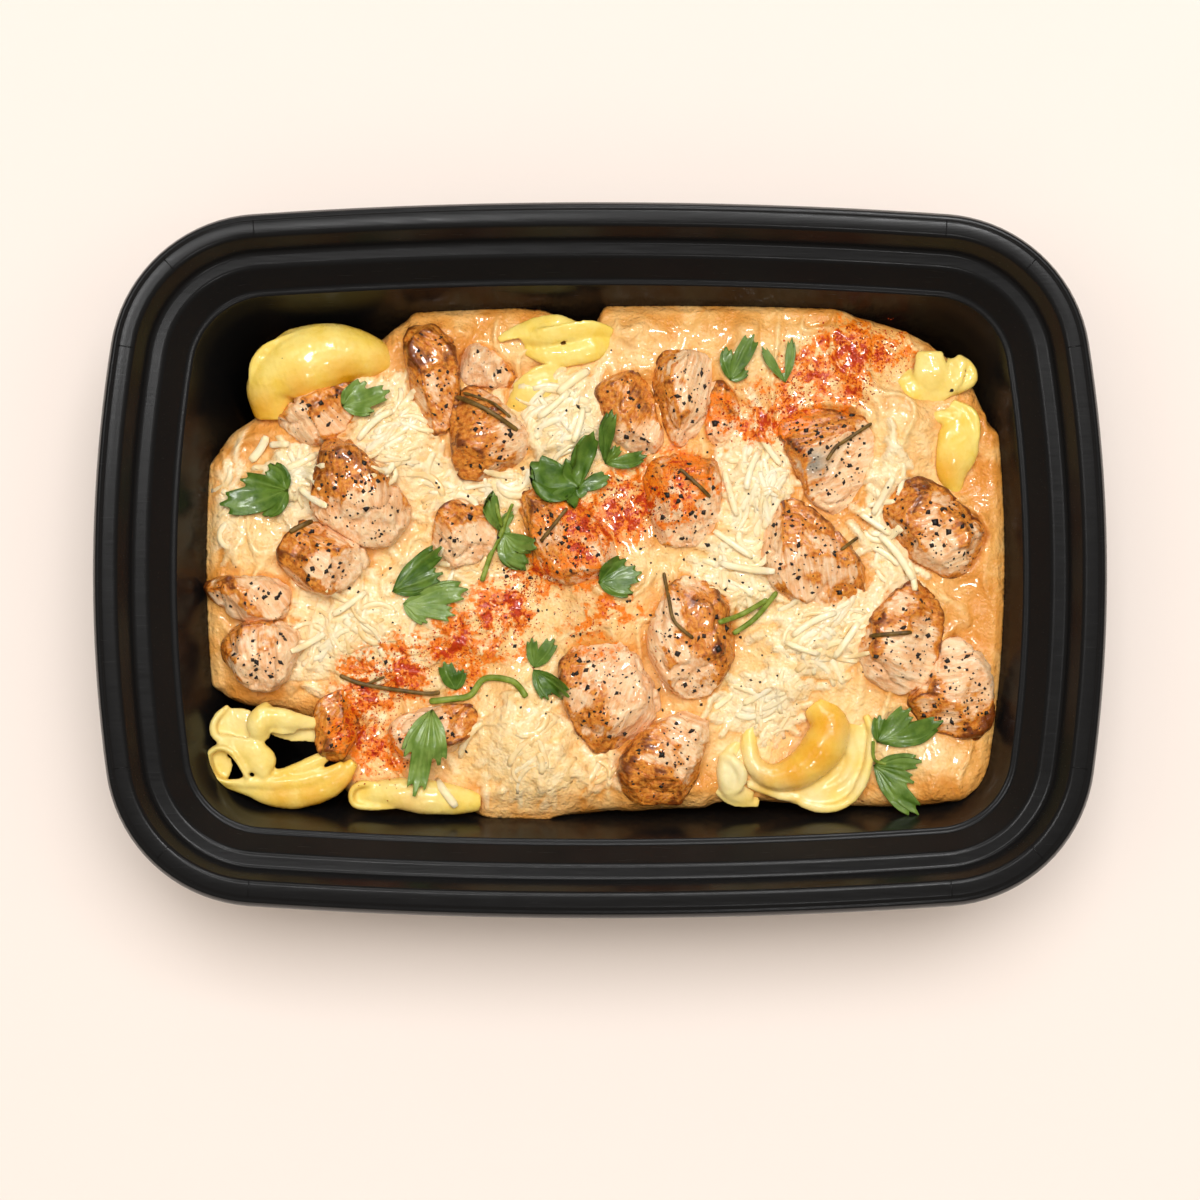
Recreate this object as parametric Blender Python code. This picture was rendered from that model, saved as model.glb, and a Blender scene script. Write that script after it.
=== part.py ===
"""Tortellini and diced roast chicken in a creamy sauce, in the black plastic tray that holds them.

Sizes are in millimetres and are turned into metres as each mesh is made. The frame is the tray's:
X along its length, Y across it and Z up, with the origin on the table under the tray's middle.
"""

import math

import bmesh
import bpy
from mathutils import Vector
from mathutils.bvhtree import BVHTree

MM = 0.001
GAP = 0.35  # clearance between a piece and the neighbour it rests on

# The tray: its outline is four shallow side arcs joined by four corner arcs.
TRAY_LENGTH = 216.0
TRAY_WIDTH = 153.0
TRAY_HEIGHT = 50.0
LONG_SIDE_RADIUS = 1083.0
SHORT_SIDE_RADIUS = 318.0
CORNER_RADIUS = 33.0
LONG_SIDE_STEPS = 3
CORNER_STEPS = 5
SHORT_SIDE_STEPS = 2
WALL = 1.0
LEDGE_HEIGHT = 43.8  # the wide ledge that a lid's plug sits on
STEP_HEIGHT = 38.0  # the narrow ledge below it
SKIRT_HEIGHT = 44.5  # lower edge of the lip that turns down round the flange
FLOOR = 1.2
STEP_INSET = 16.4  # how far inside the outer edge the narrow ledge ends and the lower wall starts
STEP_BACK = 15.2  # where the narrow ledge meets the slope above it
LEDGE_FRONT = 11.3  # the wide ledge runs from here
LEDGE_BACK = 8.1  # to here, where the slope up to the rim starts
RIM_FRONT = 5.8  # the flat top of the rim runs from here
RIM_BACK = 2.0  # to here, where the lip rolls over
LIP_ROLL = ((0.9, 0.6), (0.3, 2.4))  # inset and drop of the rolled lip's points
LIP_HOLLOW = 1.4  # inset of the lip's inner face under the roll
LIP_HOLLOW_DROP = 2.7
RIM_UNDERSIDE = (5.0, 2.3)  # insets of the rim's lower face
LEDGE_UNDERSIDE = (10.5, 7.2)
STEP_UNDERSIDE = 14.5
FILLET_INSET = 24.6  # where the side wall turns into the floor
FILLET_HEIGHT = 5.0
FILLET_WIDTH = 5.4
FILLET_BEND = (2.0, 1.0)  # the middle of the fillet, measured in from the wall and up from the floor
FOOT_BEND = (1.4, 0.7)
FOOT_WIDTH = 5.0

# The sauce: its surface is level plus these soft mounds (x, y, height, radius).
SAUCE_LEVEL = 24.5
SAUCE_MOUNDS = [
    (5.0, 2.0, 4.5, 42.0),
    (55.0, 6.0, 4.0, 30.0),
    (67.0, 30.0, 4.0, 9.0),
    (2.0, -10.5, 3.5, 9.0),
    (-14.0, -44.0, 3.0, 9.0),
    (-76.0, 3.0, 3.5, 7.0),
    (9.0, 50.0, 2.5, 9.0),
    (40.0, 50.0, 2.0, 16.0),
]
SAUCE_EDGE_DROP = 2.5  # how far the surface falls at its rounded edge
SAUCE_EDGE_WIDTH = 7.0
SAUCE_SPOKES = 40
SAUCE_RINGS = 6
SAUCE_CROWDING = 1.4  # how much closer the rings lie near the edge
SAUCE_MIDDLE = 0.6  # share of a ring's spacing left open in the middle
SAUCE_MARGIN = 1.5  # the sauce's clearance from the wall, in gaps
SAUCE_SHORE = [
    (-90.0, 0.0),
    (-87.0, 20.0),
    (-79.0, 31.0),
    (-66.0, 43.0),
    (-47.0, 51.0),
    (-26.0, 56.0),
    (0.0, 57.5),
    (24.0, 59.0),
    (50.0, 56.0),
    (74.0, 49.0),
    (86.0, 30.0),
    (91.0, 8.0),
    (91.0, -14.0),
    (88.0, -34.0),
    (77.0, -50.0),
    (62.0, -52.0),
    (36.0, -50.0),
    (8.0, -56.0),
    (-14.0, -57.5),
    (-36.0, -53.0),
    (-58.0, -48.0),
    (-76.0, -43.0),
    (-85.0, -28.0),
    (-89.0, -10.0),
]

CHUNK_FOOT = 15.0  # how low the chunks reach into the sauce
CHUNK_FOOT_SHARE = 0.84  # size of the foot, as a share of the outline
CHUNK_SHOULDERS = ((1.0, 6.0), (0.97, 2.6), (0.74, 0.4))  # share of the outline, and how far below the top
CHUNK_CROWN = 0.4  # rise of the middle of the top
CORNER_CUT = 0.2  # share of a side that each cut corner takes

# Each chicken chunk: height of its top, then the corners of its cut outline, clockwise from the left.
CHUNKS = [
    (31.0, [(-71.0, 31.5), (-68.5, 35.0), (-57.5, 40.0),
            (-53.5, 39.5), (-56.0, 30.0), (-64.5, 26.5)]),
    (35.0, [(-62.0, 21.0), (-59.5, 27.5), (-54.5, 26.0), (-42.0, 12.5),
            (-44.0, 7.0), (-49.0, 3.0), (-63.5, 11.0)]),
    (33.5, [(-71.0, 1.5), (-68.5, 5.5), (-64.5, 9.5), (-50.0, 2.0), (-58.5, -7.0), (-65.5, -5.0)]),
    (30.5, [(-87.5, -5.5), (-84.0, -3.5), (-72.5, -3.8),
            (-69.0, -6.0), (-70.0, -11.5), (-79.5, -12.0)]),
    (32.0, [(-83.5, -19.0), (-79.5, -13.5), (-68.5, -13.5),
            (-66.5, -17.0), (-71.0, -27.5), (-77.5, -27.0)]),
    (33.0, [(-43.0, 52.5), (-34.0, 52.0), (-31.5, 40.0),
            (-33.0, 30.0), (-38.0, 28.5), (-41.5, 41.0)]),
    (30.5, [(-31.0, 47.5), (-25.0, 48.5), (-18.0, 42.0),
            (-20.0, 38.5), (-26.5, 40.5), (-30.5, 40.5)]),
    (34.0, [(-32.5, 35.5), (-27.0, 39.0), (-17.0, 30.0),
            (-15.5, 24.5), (-25.5, 18.5), (-31.5, 19.5)]),
    (32.5, [(-36.5, 5.0), (-34.5, 13.0), (-25.5, 14.0),
            (-23.0, 7.0), (-25.5, 1.5), (-34.0, -0.5)]),
    (34.0, [(-18.5, 16.5), (-7.0, 14.5), (4.0, 3.0), (2.0, -3.0),
            (-4.5, -4.5), (-13.0, -3.0), (-14.5, 6.0)]),
    (34.0, [(-1.0, 38.5), (6.5, 42.5), (10.5, 39.5), (11.5, 32.0),
            (14.0, 27.5), (10.5, 23.5), (4.5, 25.0), (1.0, 34.0)]),
    (34.5, [(11.5, 42.0), (14.0, 46.0), (22.5, 46.0), (25.0, 42.0),
            (21.5, 28.0), (16.5, 25.5), (13.5, 35.0)]),
    (32.5, [(26.0, 41.0), (30.0, 35.5), (30.5, 31.0), (26.5, 25.0), (23.0, 28.0), (24.5, 34.0)]),
    (35.0, [(10.0, 20.5), (18.5, 24.5), (26.0, 21.5), (25.0, 4.5), (14.0, 4.0), (12.5, 9.0)]),
    (34.0, [(38.5, 30.0), (47.0, 34.5), (57.0, 33.5), (60.5, 26.0),
            (54.5, 10.0), (46.5, 13.5), (43.5, 21.0)]),
    (35.0, [(34.0, 3.5), (40.0, 14.0), (45.0, 12.5), (54.0, 4.0),
            (59.5, -5.0), (49.0, -10.0), (38.0, -5.5)]),
    (34.0, [(61.0, 10.5), (66.5, 18.0), (71.5, 18.5), (86.0, 8.0),
            (82.0, -1.0), (77.0, -3.5), (66.5, 3.0)]),
    (34.0, [(56.5, -22.0), (59.5, -12.0), (67.5, -4.5), (71.0, -4.5),
            (75.5, -13.5), (71.0, -26.0), (65.0, -29.0)]),
    (33.0, [(67.5, -30.5), (72.5, -26.5), (76.5, -15.0), (85.0, -21.5),
            (85.5, -35.0), (82.0, -39.0), (70.0, -35.0)]),
    (34.0, [(-9.0, -23.0), (-5.5, -18.0), (6.0, -18.0), (13.0, -31.0),
            (9.0, -36.5), (0.0, -42.0), (-6.0, -34.5)]),
    (33.5, [(4.0, -45.0), (10.0, -37.0), (19.5, -33.0),
            (23.5, -35.5), (19.0, -52.0), (7.0, -52.0)]),
    (35.0, [(10.0, -16.5), (16.5, -4.0), (21.0, -3.5), (29.0, -9.5),
            (29.0, -22.0), (21.5, -30.0), (15.0, -27.0)]),
    (31.0, [(-62.5, -31.5), (-56.0, -28.0), (-54.0, -37.0), (-57.5, -43.5), (-61.5, -41.5)]),
    (31.5, [(-46.0, -35.0), (-29.0, -31.0), (-26.0, -35.0), (-36.5, -43.0), (-43.5, -42.5)]),
]

# A strand of dough is a list of stations (x, y, z, half width, half thickness), swept as an oval.
STRAND_SIDES = 8
STRAND_STEPS = 3  # rings from one station to the next
BRIM = 1.1  # half thickness of a brim, the flap of dough outside a belly
BRIM_TILT = 14.0

BLACK_PLASTIC = ((0.012, 0.012, 0.013), 0.32)
CREAM_SAUCE = ((0.80, 0.55, 0.32), 0.18)
EGG_PASTA = ((0.86, 0.62, 0.16), 0.35)
ROAST_CHICKEN = ((0.58, 0.27, 0.12), 0.42)


def material(name, look):
    color, roughness = look
    made = bpy.data.materials.new(name)
    made.use_nodes = True
    shader = made.node_tree.nodes["Principled BSDF"]
    shader.inputs["Base Color"].default_value = (*color, 1.0)
    shader.inputs["Roughness"].default_value = roughness
    shader.inputs["Metallic"].default_value = 0.0
    made.diffuse_color = (*color, 1.0)
    return made


def add_object(name, shape, look):
    """Turns a bmesh in millimetres into a named object in metres with a material of its own."""
    bmesh.ops.recalc_face_normals(shape, faces=shape.faces)
    for vertex in shape.verts:
        vertex.co *= MM
    mesh = bpy.data.meshes.new(name)
    shape.to_mesh(mesh)
    shape.free()
    mesh.materials.append(material(name, look))
    mesh.shade_smooth()
    mesh.set_sharp_from_angle(angle=math.radians(40))
    made = bpy.data.objects.new(name, mesh)
    bpy.context.scene.collection.objects.link(made)
    return made


def make_helper(thing):
    thing.hide_render = True
    thing.display_type = "WIRE"


def loft(rings):
    """Skins a row of closed rings that all have the same number of points."""
    shape = bmesh.new()
    rows = [[shape.verts.new(point) for point in ring] for ring in rings]
    count = len(rows[0])
    for lower, upper in zip(rows, rows[1:]):
        for i in range(count):
            j = (i + 1) % count
            shape.faces.new((lower[i], lower[j], upper[j], upper[i]))
    shape.faces.new(list(reversed(rows[0])))
    shape.faces.new(rows[-1])
    return shape


def smooth_curve(stations, steps, closed=False):
    """Catmull-Rom points through the stations, which are tuples of any length."""
    count = len(stations)
    spans = count if closed else count - 1
    points = []
    for span in range(spans):
        if closed:
            a, b, c, d = (stations[(span + k) % count] for k in (-1, 0, 1, 2))
        else:
            a, b, c, d = (stations[min(max(span + k, 0), count - 1)] for k in (-1, 0, 1, 2))
        for step in range(steps):
            t = step / steps
            weights = (
                -0.5 * t**3 + t**2 - 0.5 * t,
                1.5 * t**3 - 2.5 * t**2 + 1.0,
                -1.5 * t**3 + 2.0 * t**2 + 0.5 * t,
                0.5 * t**3 - 0.5 * t**2,
            )
            points.append(
                tuple(sum(w * p for w, p in zip(weights, part)) for part in zip(a, b, c, d))
            )
    if not closed:
        points.append(stations[-1])
    return points


# --- The tray ---------------------------------------------------------------------------------


def corner_centre():
    """Centre of the first corner's arc, where it is tangent to both side arcs."""
    long_reach = LONG_SIDE_RADIUS - CORNER_RADIUS
    short_reach = SHORT_SIDE_RADIUS - CORNER_RADIUS
    long_y = TRAY_WIDTH / 2 - LONG_SIDE_RADIUS
    short_x = TRAY_LENGTH / 2 - SHORT_SIDE_RADIUS
    span = math.hypot(short_x, long_y)
    along = (short_reach**2 - long_reach**2 + span**2) / (2 * span)
    aside = math.sqrt(short_reach**2 - along**2)
    toward = Vector((-short_x, long_y)) / span
    normal = Vector((-toward.y, toward.x))
    centre = Vector((short_x, 0.0)) + toward * along + normal * aside
    return centre


def outline_quarter():
    """(arc centre, radius, direction) of each outline point, from +X round to +Y."""
    corner = corner_centre()
    short_centre = Vector((TRAY_LENGTH / 2 - SHORT_SIDE_RADIUS, 0.0))
    long_centre = Vector((0.0, TRAY_WIDTH / 2 - LONG_SIDE_RADIUS))
    low = math.atan2(corner.y - short_centre.y, corner.x - short_centre.x)
    high = math.atan2(corner.y - long_centre.y, corner.x - long_centre.x)
    quarter = []
    for i in range(SHORT_SIDE_STEPS):
        quarter.append((short_centre, SHORT_SIDE_RADIUS, low * i / SHORT_SIDE_STEPS))
    for i in range(CORNER_STEPS):
        quarter.append((corner, CORNER_RADIUS, low + (high - low) * i / CORNER_STEPS))
    for i in range(LONG_SIDE_STEPS):
        turn = high + (math.pi / 2 - high) * i / LONG_SIDE_STEPS
        quarter.append((long_centre, LONG_SIDE_RADIUS, turn))
    return quarter


def tray_ring(inset, height):
    """The tray's outline moved in by inset, counterclockwise, at a height."""
    quarter = []
    for centre, radius, turn in outline_quarter():
        reach = radius - inset
        quarter.append((centre.x + reach * math.cos(turn), centre.y + reach * math.sin(turn)))
    top = (0.0, TRAY_WIDTH / 2 - inset)
    first_half = quarter + [top] + [(-x, y) for x, y in reversed(quarter[1:])]
    ring = first_half + [(-x, -y) for x, y in first_half]
    return [(x, y, height) for x, y in ring]


def wall_inset(height):
    """How far the inner face of the lower wall lies inside the outer edge, at a height."""
    slope = (FILLET_INSET - STEP_INSET) / (STEP_HEIGHT - FILLET_HEIGHT)
    inset = STEP_INSET + (STEP_HEIGHT - height) * slope
    if height < FILLET_HEIGHT:
        inset += FILLET_HEIGHT - height
    return inset


def add_tray():
    inside = [
        (FILLET_INSET + FILLET_WIDTH, FLOOR),
        (FILLET_INSET + FILLET_BEND[0], FLOOR + FILLET_BEND[1]),
        (FILLET_INSET, FILLET_HEIGHT),
        (STEP_INSET, STEP_HEIGHT),
        (STEP_BACK, STEP_HEIGHT),
        (LEDGE_FRONT, LEDGE_HEIGHT),
        (LEDGE_BACK, LEDGE_HEIGHT),
        (RIM_FRONT, TRAY_HEIGHT),
    ]
    lip = [(RIM_BACK, TRAY_HEIGHT)]
    lip += [(inset, TRAY_HEIGHT - drop) for inset, drop in LIP_ROLL]
    lip += [
        (0.0, SKIRT_HEIGHT),
        (WALL, SKIRT_HEIGHT),
        (LIP_HOLLOW, TRAY_HEIGHT - LIP_HOLLOW_DROP),
        (RIM_UNDERSIDE[1], TRAY_HEIGHT - WALL),
    ]
    outside = [
        (RIM_UNDERSIDE[0], TRAY_HEIGHT - WALL),
        (LEDGE_UNDERSIDE[1], LEDGE_HEIGHT - WALL),
        (LEDGE_UNDERSIDE[0], LEDGE_HEIGHT - WALL),
        (STEP_UNDERSIDE, STEP_HEIGHT - WALL),
        (STEP_INSET - WALL, STEP_HEIGHT - WALL),
        (FILLET_INSET - WALL, FILLET_HEIGHT - WALL / 2),
        (FILLET_INSET + FOOT_BEND[0], FOOT_BEND[1]),
        (FILLET_INSET + FOOT_WIDTH, 0.0),
    ]
    rings = [tray_ring(inset, height) for inset, height in inside + lip + outside]
    return add_object("tray", loft(rings), BLACK_PLASTIC)


# --- The sauce --------------------------------------------------------------------------------


def sauce_height(x, y):
    height = SAUCE_LEVEL
    for mound_x, mound_y, rise, radius in SAUCE_MOUNDS:
        distance = math.hypot(x - mound_x, y - mound_y)
        height += rise * math.exp(-((distance / radius) ** 2))
    return height


def reach_of_ring(ring, turn):
    """Distance from the middle to a ring, in the direction of turn."""
    ray = Vector((math.cos(turn), math.sin(turn)))
    for (ax, ay, *_), (bx, by, *_) in zip(ring, ring[1:] + ring[:1]):
        side = Vector((bx - ax, by - ay))
        cross = ray.x * side.y - ray.y * side.x
        if abs(cross) < 1e-9:
            continue
        reach = (ax * side.y - ay * side.x) / cross
        share = (ax * ray.y - ay * ray.x) / cross
        if reach > 0.0 and -1e-6 <= share <= 1.0 + 1e-6:
            return reach
    raise ValueError("the ring doesn't go round the middle")


def add_sauce():
    """A body of sauce from the tray's floor up to its uneven surface."""
    shore = [(x, y) for x, y in smooth_curve(SAUCE_SHORE, 5, closed=True)]
    turns = [2 * math.pi * i / SAUCE_SPOKES for i in range(SAUCE_SPOKES)]
    foot = FLOOR + GAP
    levels = [foot, FILLET_HEIGHT, SAUCE_LEVEL - SAUCE_EDGE_DROP]
    rings = []
    shore_reach = [reach_of_ring(shore, turn) for turn in turns]
    for level in levels:
        margin = wall_inset(level) + GAP * SAUCE_MARGIN
        wall = tray_ring(margin, level)
        ring = []
        for turn, reach in zip(turns, shore_reach):
            reach = min(reach, reach_of_ring(wall, turn))
            ring.append((reach * math.cos(turn), reach * math.sin(turn), level))
        rings.append(ring)
    edge = [math.hypot(x, y) for x, y, _ in rings[-1]]
    for step in range(SAUCE_RINGS):
        share = 1.0 - ((step + 1) / (SAUCE_RINGS + SAUCE_MIDDLE)) ** SAUCE_CROWDING
        ring = []
        for turn, reach in zip(turns, edge):
            x = reach * share * math.cos(turn)
            y = reach * share * math.sin(turn)
            inward = min(reach * (1.0 - share) / SAUCE_EDGE_WIDTH, 1.0)
            drop = SAUCE_EDGE_DROP * (1.0 - math.sqrt(1.0 - (1.0 - inward) ** 2))
            ring.append((x, y, sauce_height(x, y) - drop))
        rings.append(ring)
    return add_object("sauce", loft(rings), CREAM_SAUCE)


# --- The chicken ------------------------------------------------------------------------------


def rounded_corners(corners):
    """Cuts each corner once, so that a knife-cut block loses its sharp edges."""
    points = []
    for (ax, ay), (bx, by) in zip(corners, corners[1:] + corners[:1]):
        for share in (CORNER_CUT, 1.0 - CORNER_CUT):
            points.append((ax + (bx - ax) * share, ay + (by - ay) * share))
    return points


def add_chunk(number, top, corners):
    outline = rounded_corners(corners)
    middle_x = sum(x for x, _ in outline) / len(outline)
    middle_y = sum(y for _, y in outline) / len(outline)
    rings = []
    levels = [(CHUNK_FOOT_SHARE, CHUNK_FOOT)] + [(share, top - drop) for share, drop in CHUNK_SHOULDERS]
    for share, height in levels:
        rings.append(
            [
                (middle_x + (x - middle_x) * share, middle_y + (y - middle_y) * share, height)
                for x, y in outline
            ]
        )
    shape = loft(rings)
    bmesh.ops.poke(shape, faces=[max(shape.faces, key=lambda face: face.calc_center_median().z)])
    max(shape.verts, key=lambda vertex: len(vertex.link_faces)).co.z += CHUNK_CROWN
    return add_object(f"chicken_{number:02d}", shape, ROAST_CHICKEN)


# --- The tortellini ---------------------------------------------------------------------------


def strand(stations, twist=0.0):
    """A closed oval tube through stations (x, y, z, half width, half thickness), twisted about its run."""
    points = smooth_curve(stations, STRAND_STEPS)
    centres = [Vector(point[:3]) for point in points]
    rings = []
    for i, (*_, half_width, half_thickness) in enumerate(points):
        run = (centres[min(i + 1, len(centres) - 1)] - centres[max(i - 1, 0)]).normalized()
        side = run.cross(Vector((0.0, 0.0, 1.0))).normalized()
        rise = side.cross(run)
        ring = []
        for k in range(STRAND_SIDES):
            angle = 2 * math.pi * k / STRAND_SIDES
            along_side = half_width * math.cos(angle)
            along_rise = half_thickness * math.sin(angle)
            tilt = math.radians(twist)
            ring.append(
                centres[i]
                + side * (along_side * math.cos(tilt) - along_rise * math.sin(tilt))
                + rise * (along_side * math.sin(tilt) + along_rise * math.cos(tilt))
            )
        rings.append(ring)
    return loft(rings)


def arc(centre, radius, turns, count, height, widths, thickness=None):
    """Stations along an arc, with the widths spread along it, and as thick unless thickness is given."""
    stations = []
    for i in range(count):
        share = i / (count - 1)
        turn = math.radians(turns[0] + (turns[1] - turns[0]) * share)
        place = share * (len(widths) - 1)
        low = min(int(place), len(widths) - 2)
        width = widths[low] + (widths[low + 1] - widths[low]) * (place - low)
        x = centre[0] + radius * math.cos(turn)
        y = centre[1] + radius * math.sin(turn)
        stations.append((x, y, height, width, thickness or width))
    return stations


def tortellino_strands():
    """The strands of each tortellino: filled bellies, thin brims and rolled ends."""
    return [
        # A large one seen from its back, a broad crescent with the brim showing at its left end.
        [
            strand(
                [
                    (-75.5, 34.5, 24.0, 3.2, 4.0),
                    (-71.5, 41.0, 25.5, 6.6, 6.0),
                    (-62.0, 45.5, 26.0, 7.6, 6.5),
                    (-53.5, 46.5, 26.0, 6.6, 5.5),
                    (-47.5, 45.5, 25.0, 3.4, 3.6),
                ]
            ),
            strand(
                [
                    (-75.0, 47.0, 25.5, 2.6, 1.2),
                    (-78.0, 41.0, 23.5, 2.2, 1.2),
                    (-77.0, 34.0, 21.5, 1.6, 1.0),
                ]
            ),
        ],
        # A loosely folded one, ribbons over a small belly.
        [
            strand(
                [
                    (-21.5, 48.5, 28.0, 1.4, 0.9),
                    (-15.0, 52.0, 29.0, 2.2, 1.0),
                    (-9.0, 53.0, 30.0, 2.6, 1.2),
                    (-2.0, 51.5, 30.5, 2.6, 1.2),
                    (2.5, 48.5, 29.5, 1.6, 1.0),
                ]
            ),
            strand(
                [
                    (-15.0, 49.0, 27.0, 2.4, 2.6),
                    (-8.0, 47.5, 28.0, 4.0, 3.4),
                    (-1.5, 48.0, 28.0, 3.6, 3.2),
                    (1.8, 47.0, 27.0, 1.8, 2.0),
                ]
            ),
            strand(
                [
                    (-8.0, 46.0, 26.0, 2.0, 2.2),
                    (-9.5, 41.5, 26.5, 2.6, 2.4),
                    (-14.5, 38.5, 28.0, 3.8, 2.6),
                    (-19.5, 35.5, 27.0, 2.4, 2.0),
                ]
            ),
        ],
        # A shell at the upper right, its tip rolled over.
        [
            strand(
                [
                    (67.0, 41.5, 29.0, 1.4, 1.4),
                    (71.5, 43.5, 30.0, 4.4, 2.6),
                    (76.5, 43.0, 30.0, 5.2, 3.0),
                    (81.0, 41.5, 29.5, 2.8, 2.4),
                ]
            ),
            strand(
                [
                    (73.5, 48.0, 29.5, 1.6, 1.4),
                    (77.0, 44.5, 30.5, 2.6, 2.0),
                    (76.5, 39.5, 30.0, 3.0, 2.0),
                    (74.5, 35.5, 29.0, 1.4, 1.2),
                ]
            ),
        ],
        # Its neighbour, a pointed crescent lying against the wall.
        [
            strand(
                [
                    (74.5, 33.5, 28.0, 1.8, 1.8),
                    (78.5, 31.0, 29.0, 4.2, 3.0),
                    (79.0, 25.5, 29.0, 4.0, 3.2),
                    (78.8, 20.5, 28.5, 2.4, 2.4),
                    (78.5, 16.5, 28.0, 1.2, 1.4),
                ]
            ),
        ],
        # A classic ring with a fat belly, and a curl at its left end.
        [
            strand(
                [
                    (-79.5, -45.0, 24.5, 2.6, 2.2),
                    (-74.0, -48.5, 25.5, 4.0, 3.6),
                    (-67.5, -49.5, 26.0, 4.8, 4.4),
                    (-60.0, -48.2, 26.0, 4.4, 4.2),
                    (-54.8, -43.5, 25.5, 2.4, 2.8),
                ]
            ),
            strand(
                [
                    (-63.5, -33.5, 26.0, 1.4, 1.2),
                    (-68.5, -32.2, 27.0, 2.0, 1.6),
                    (-74.0, -33.0, 27.0, 2.0, 1.6),
                    (-77.0, -37.5, 26.0, 1.8, 1.6),
                    (-76.5, -44.0, 25.0, 1.8, 1.6),
                ]
            ),
            strand(
                [
                    (-82.5, -34.5, 25.0, 1.8, 0.9),
                    (-78.5, -39.0, 25.5, 3.4, 1.0),
                    (-74.0, -43.0, 25.5, 3.0, 1.0),
                ]
            ),
            strand(
                [
                    (-81.0, -39.5, 25.0, 1.2, 1.0),
                    (-84.5, -41.5, 24.5, 1.4, 1.2),
                    (-84.5, -46.5, 24.0, 1.4, 1.2),
                    (-79.5, -47.5, 24.5, 1.6, 1.4),
                ]
            ),
        ],
        # A crescent along the front wall, its right half under sauce.
        [
            strand(
                [
                    (-53.5, -51.5, 24.5, 2.2, 2.2),
                    (-48.0, -50.5, 25.5, 3.2, 3.0),
                    (-40.0, -51.0, 25.8, 4.0, 3.4),
                    (-32.5, -52.0, 25.0, 3.4, 3.0),
                    (-27.0, -52.5, 24.0, 2.2, 2.2),
                ]
            ),
        ],
        # A large classic ring, open side up, with its brim flared round it.
        [
            strand(arc((42.0, -38.0), 8.6, (185.0, 385.0), 7, 27.5, [2.4, 3.4, 3.7, 3.4, 2.6])),
            strand(arc((43.0, -38.0), 8.6, (20.0, 78.0), 3, 27.5, [2.6, 2.2, 1.6])),
            strand(
                arc((44.0, -38.5), 13.2, (200.0, 375.0), 6, 25.5, [1.6, 3.2, 3.4, 3.2, 1.8], BRIM),
                BRIM_TILT,
            ),
        ],
        # The folded edge of one more, coated in sauce.
        [
            strand(
                [
                    (31.5, -39.0, 26.5, 2.0, 1.8),
                    (28.8, -44.5, 27.0, 3.0, 2.4),
                    (28.6, -51.0, 26.0, 2.2, 1.8),
                ]
            ),
        ],
    ]


def add_tortellino(number, shapes):
    """Joins the strands of one tortellino. Returns the whole and the separate strands."""
    name = f"tortellino_{number}"
    made, *others = [add_object(name, shape, EGG_PASTA) for shape in shapes]
    for part in others:
        make_helper(part)
        add_boolean(made, "UNION", part)
    return made, [made, *others]


# --- Fitting the pieces together --------------------------------------------------------------


def evaluated_shape(thing):
    """The thing's shape with its modifiers applied, in metres."""
    bpy.context.view_layer.update()
    graph = bpy.context.evaluated_depsgraph_get()
    shape = bmesh.new()
    shape.from_mesh(thing.evaluated_get(graph).to_mesh())
    return shape


def grown_copy(thing):
    """A hidden cutter that stands GAP proud of the thing's own mesh on all sides."""
    shape = bmesh.new()
    shape.from_mesh(thing.data)
    moves = [vertex.normal * GAP * vertex.calc_shell_factor() * MM for vertex in shape.verts]
    for vertex, move in zip(shape.verts, moves):
        vertex.co += move
    mesh = bpy.data.meshes.new(f"{thing.name}_cutter")
    shape.to_mesh(mesh)
    shape.free()
    made = bpy.data.objects.new(mesh.name, mesh)
    bpy.context.scene.collection.objects.link(made)
    make_helper(made)
    return made


def touches(thing, cutter):
    first = evaluated_shape(thing)
    second = bmesh.new()
    second.from_mesh(cutter.data)
    met = BVHTree.FromBMesh(first).overlap(BVHTree.FromBMesh(second))
    first.free()
    second.free()
    return bool(met)


def add_boolean(thing, operation, other):
    change = thing.modifiers.new(operation.title(), "BOOLEAN")
    change.operation = operation
    change.solver = "EXACT"
    change.object = other


def add_room():
    """The space inside the tray's wall, less GAP: what reaches past it is trimmed."""
    levels = [FLOOR + GAP, FILLET_HEIGHT, STEP_HEIGHT]
    rings = [tray_ring(wall_inset(level) + GAP, level) for level in levels]
    room = add_object("room", loft(rings), BLACK_PLASTIC)
    make_helper(room)
    return room


def fit(thing, cutters, room):
    """Takes away from the thing what its neighbours or the tray's wall need."""
    for cutter in cutters:
        if touches(thing, cutter):
            add_boolean(thing, "DIFFERENCE", cutter)
    if touches(thing, room):
        add_boolean(thing, "INTERSECT", room)


def build():
    for thing in list(bpy.data.objects):
        bpy.data.objects.remove(thing, do_unlink=True)
    add_tray()
    sauce = add_sauce()
    room = add_room()
    cutters = []
    for number, (top, corners) in enumerate(CHUNKS, 1):
        chunk = add_chunk(number, top, corners)
        fit(chunk, cutters, room)
        cutters.append(grown_copy(chunk))
    for number, strands in enumerate(tortellino_strands(), 1):
        whole, parts = add_tortellino(number, strands)
        fit(whole, cutters, room)
        cutters.extend(grown_copy(part) for part in parts)
    fit(sauce, cutters, room)


build()
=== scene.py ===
"""The looks of the tray of tortellini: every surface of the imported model, its toppings and the studio.

Shapes are worked out in millimetres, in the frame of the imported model, and become metres in add_piece.
"""

import itertools
import math

import bpy
import numpy as np
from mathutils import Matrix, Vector
from mathutils.bvhtree import BVHTree


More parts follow.
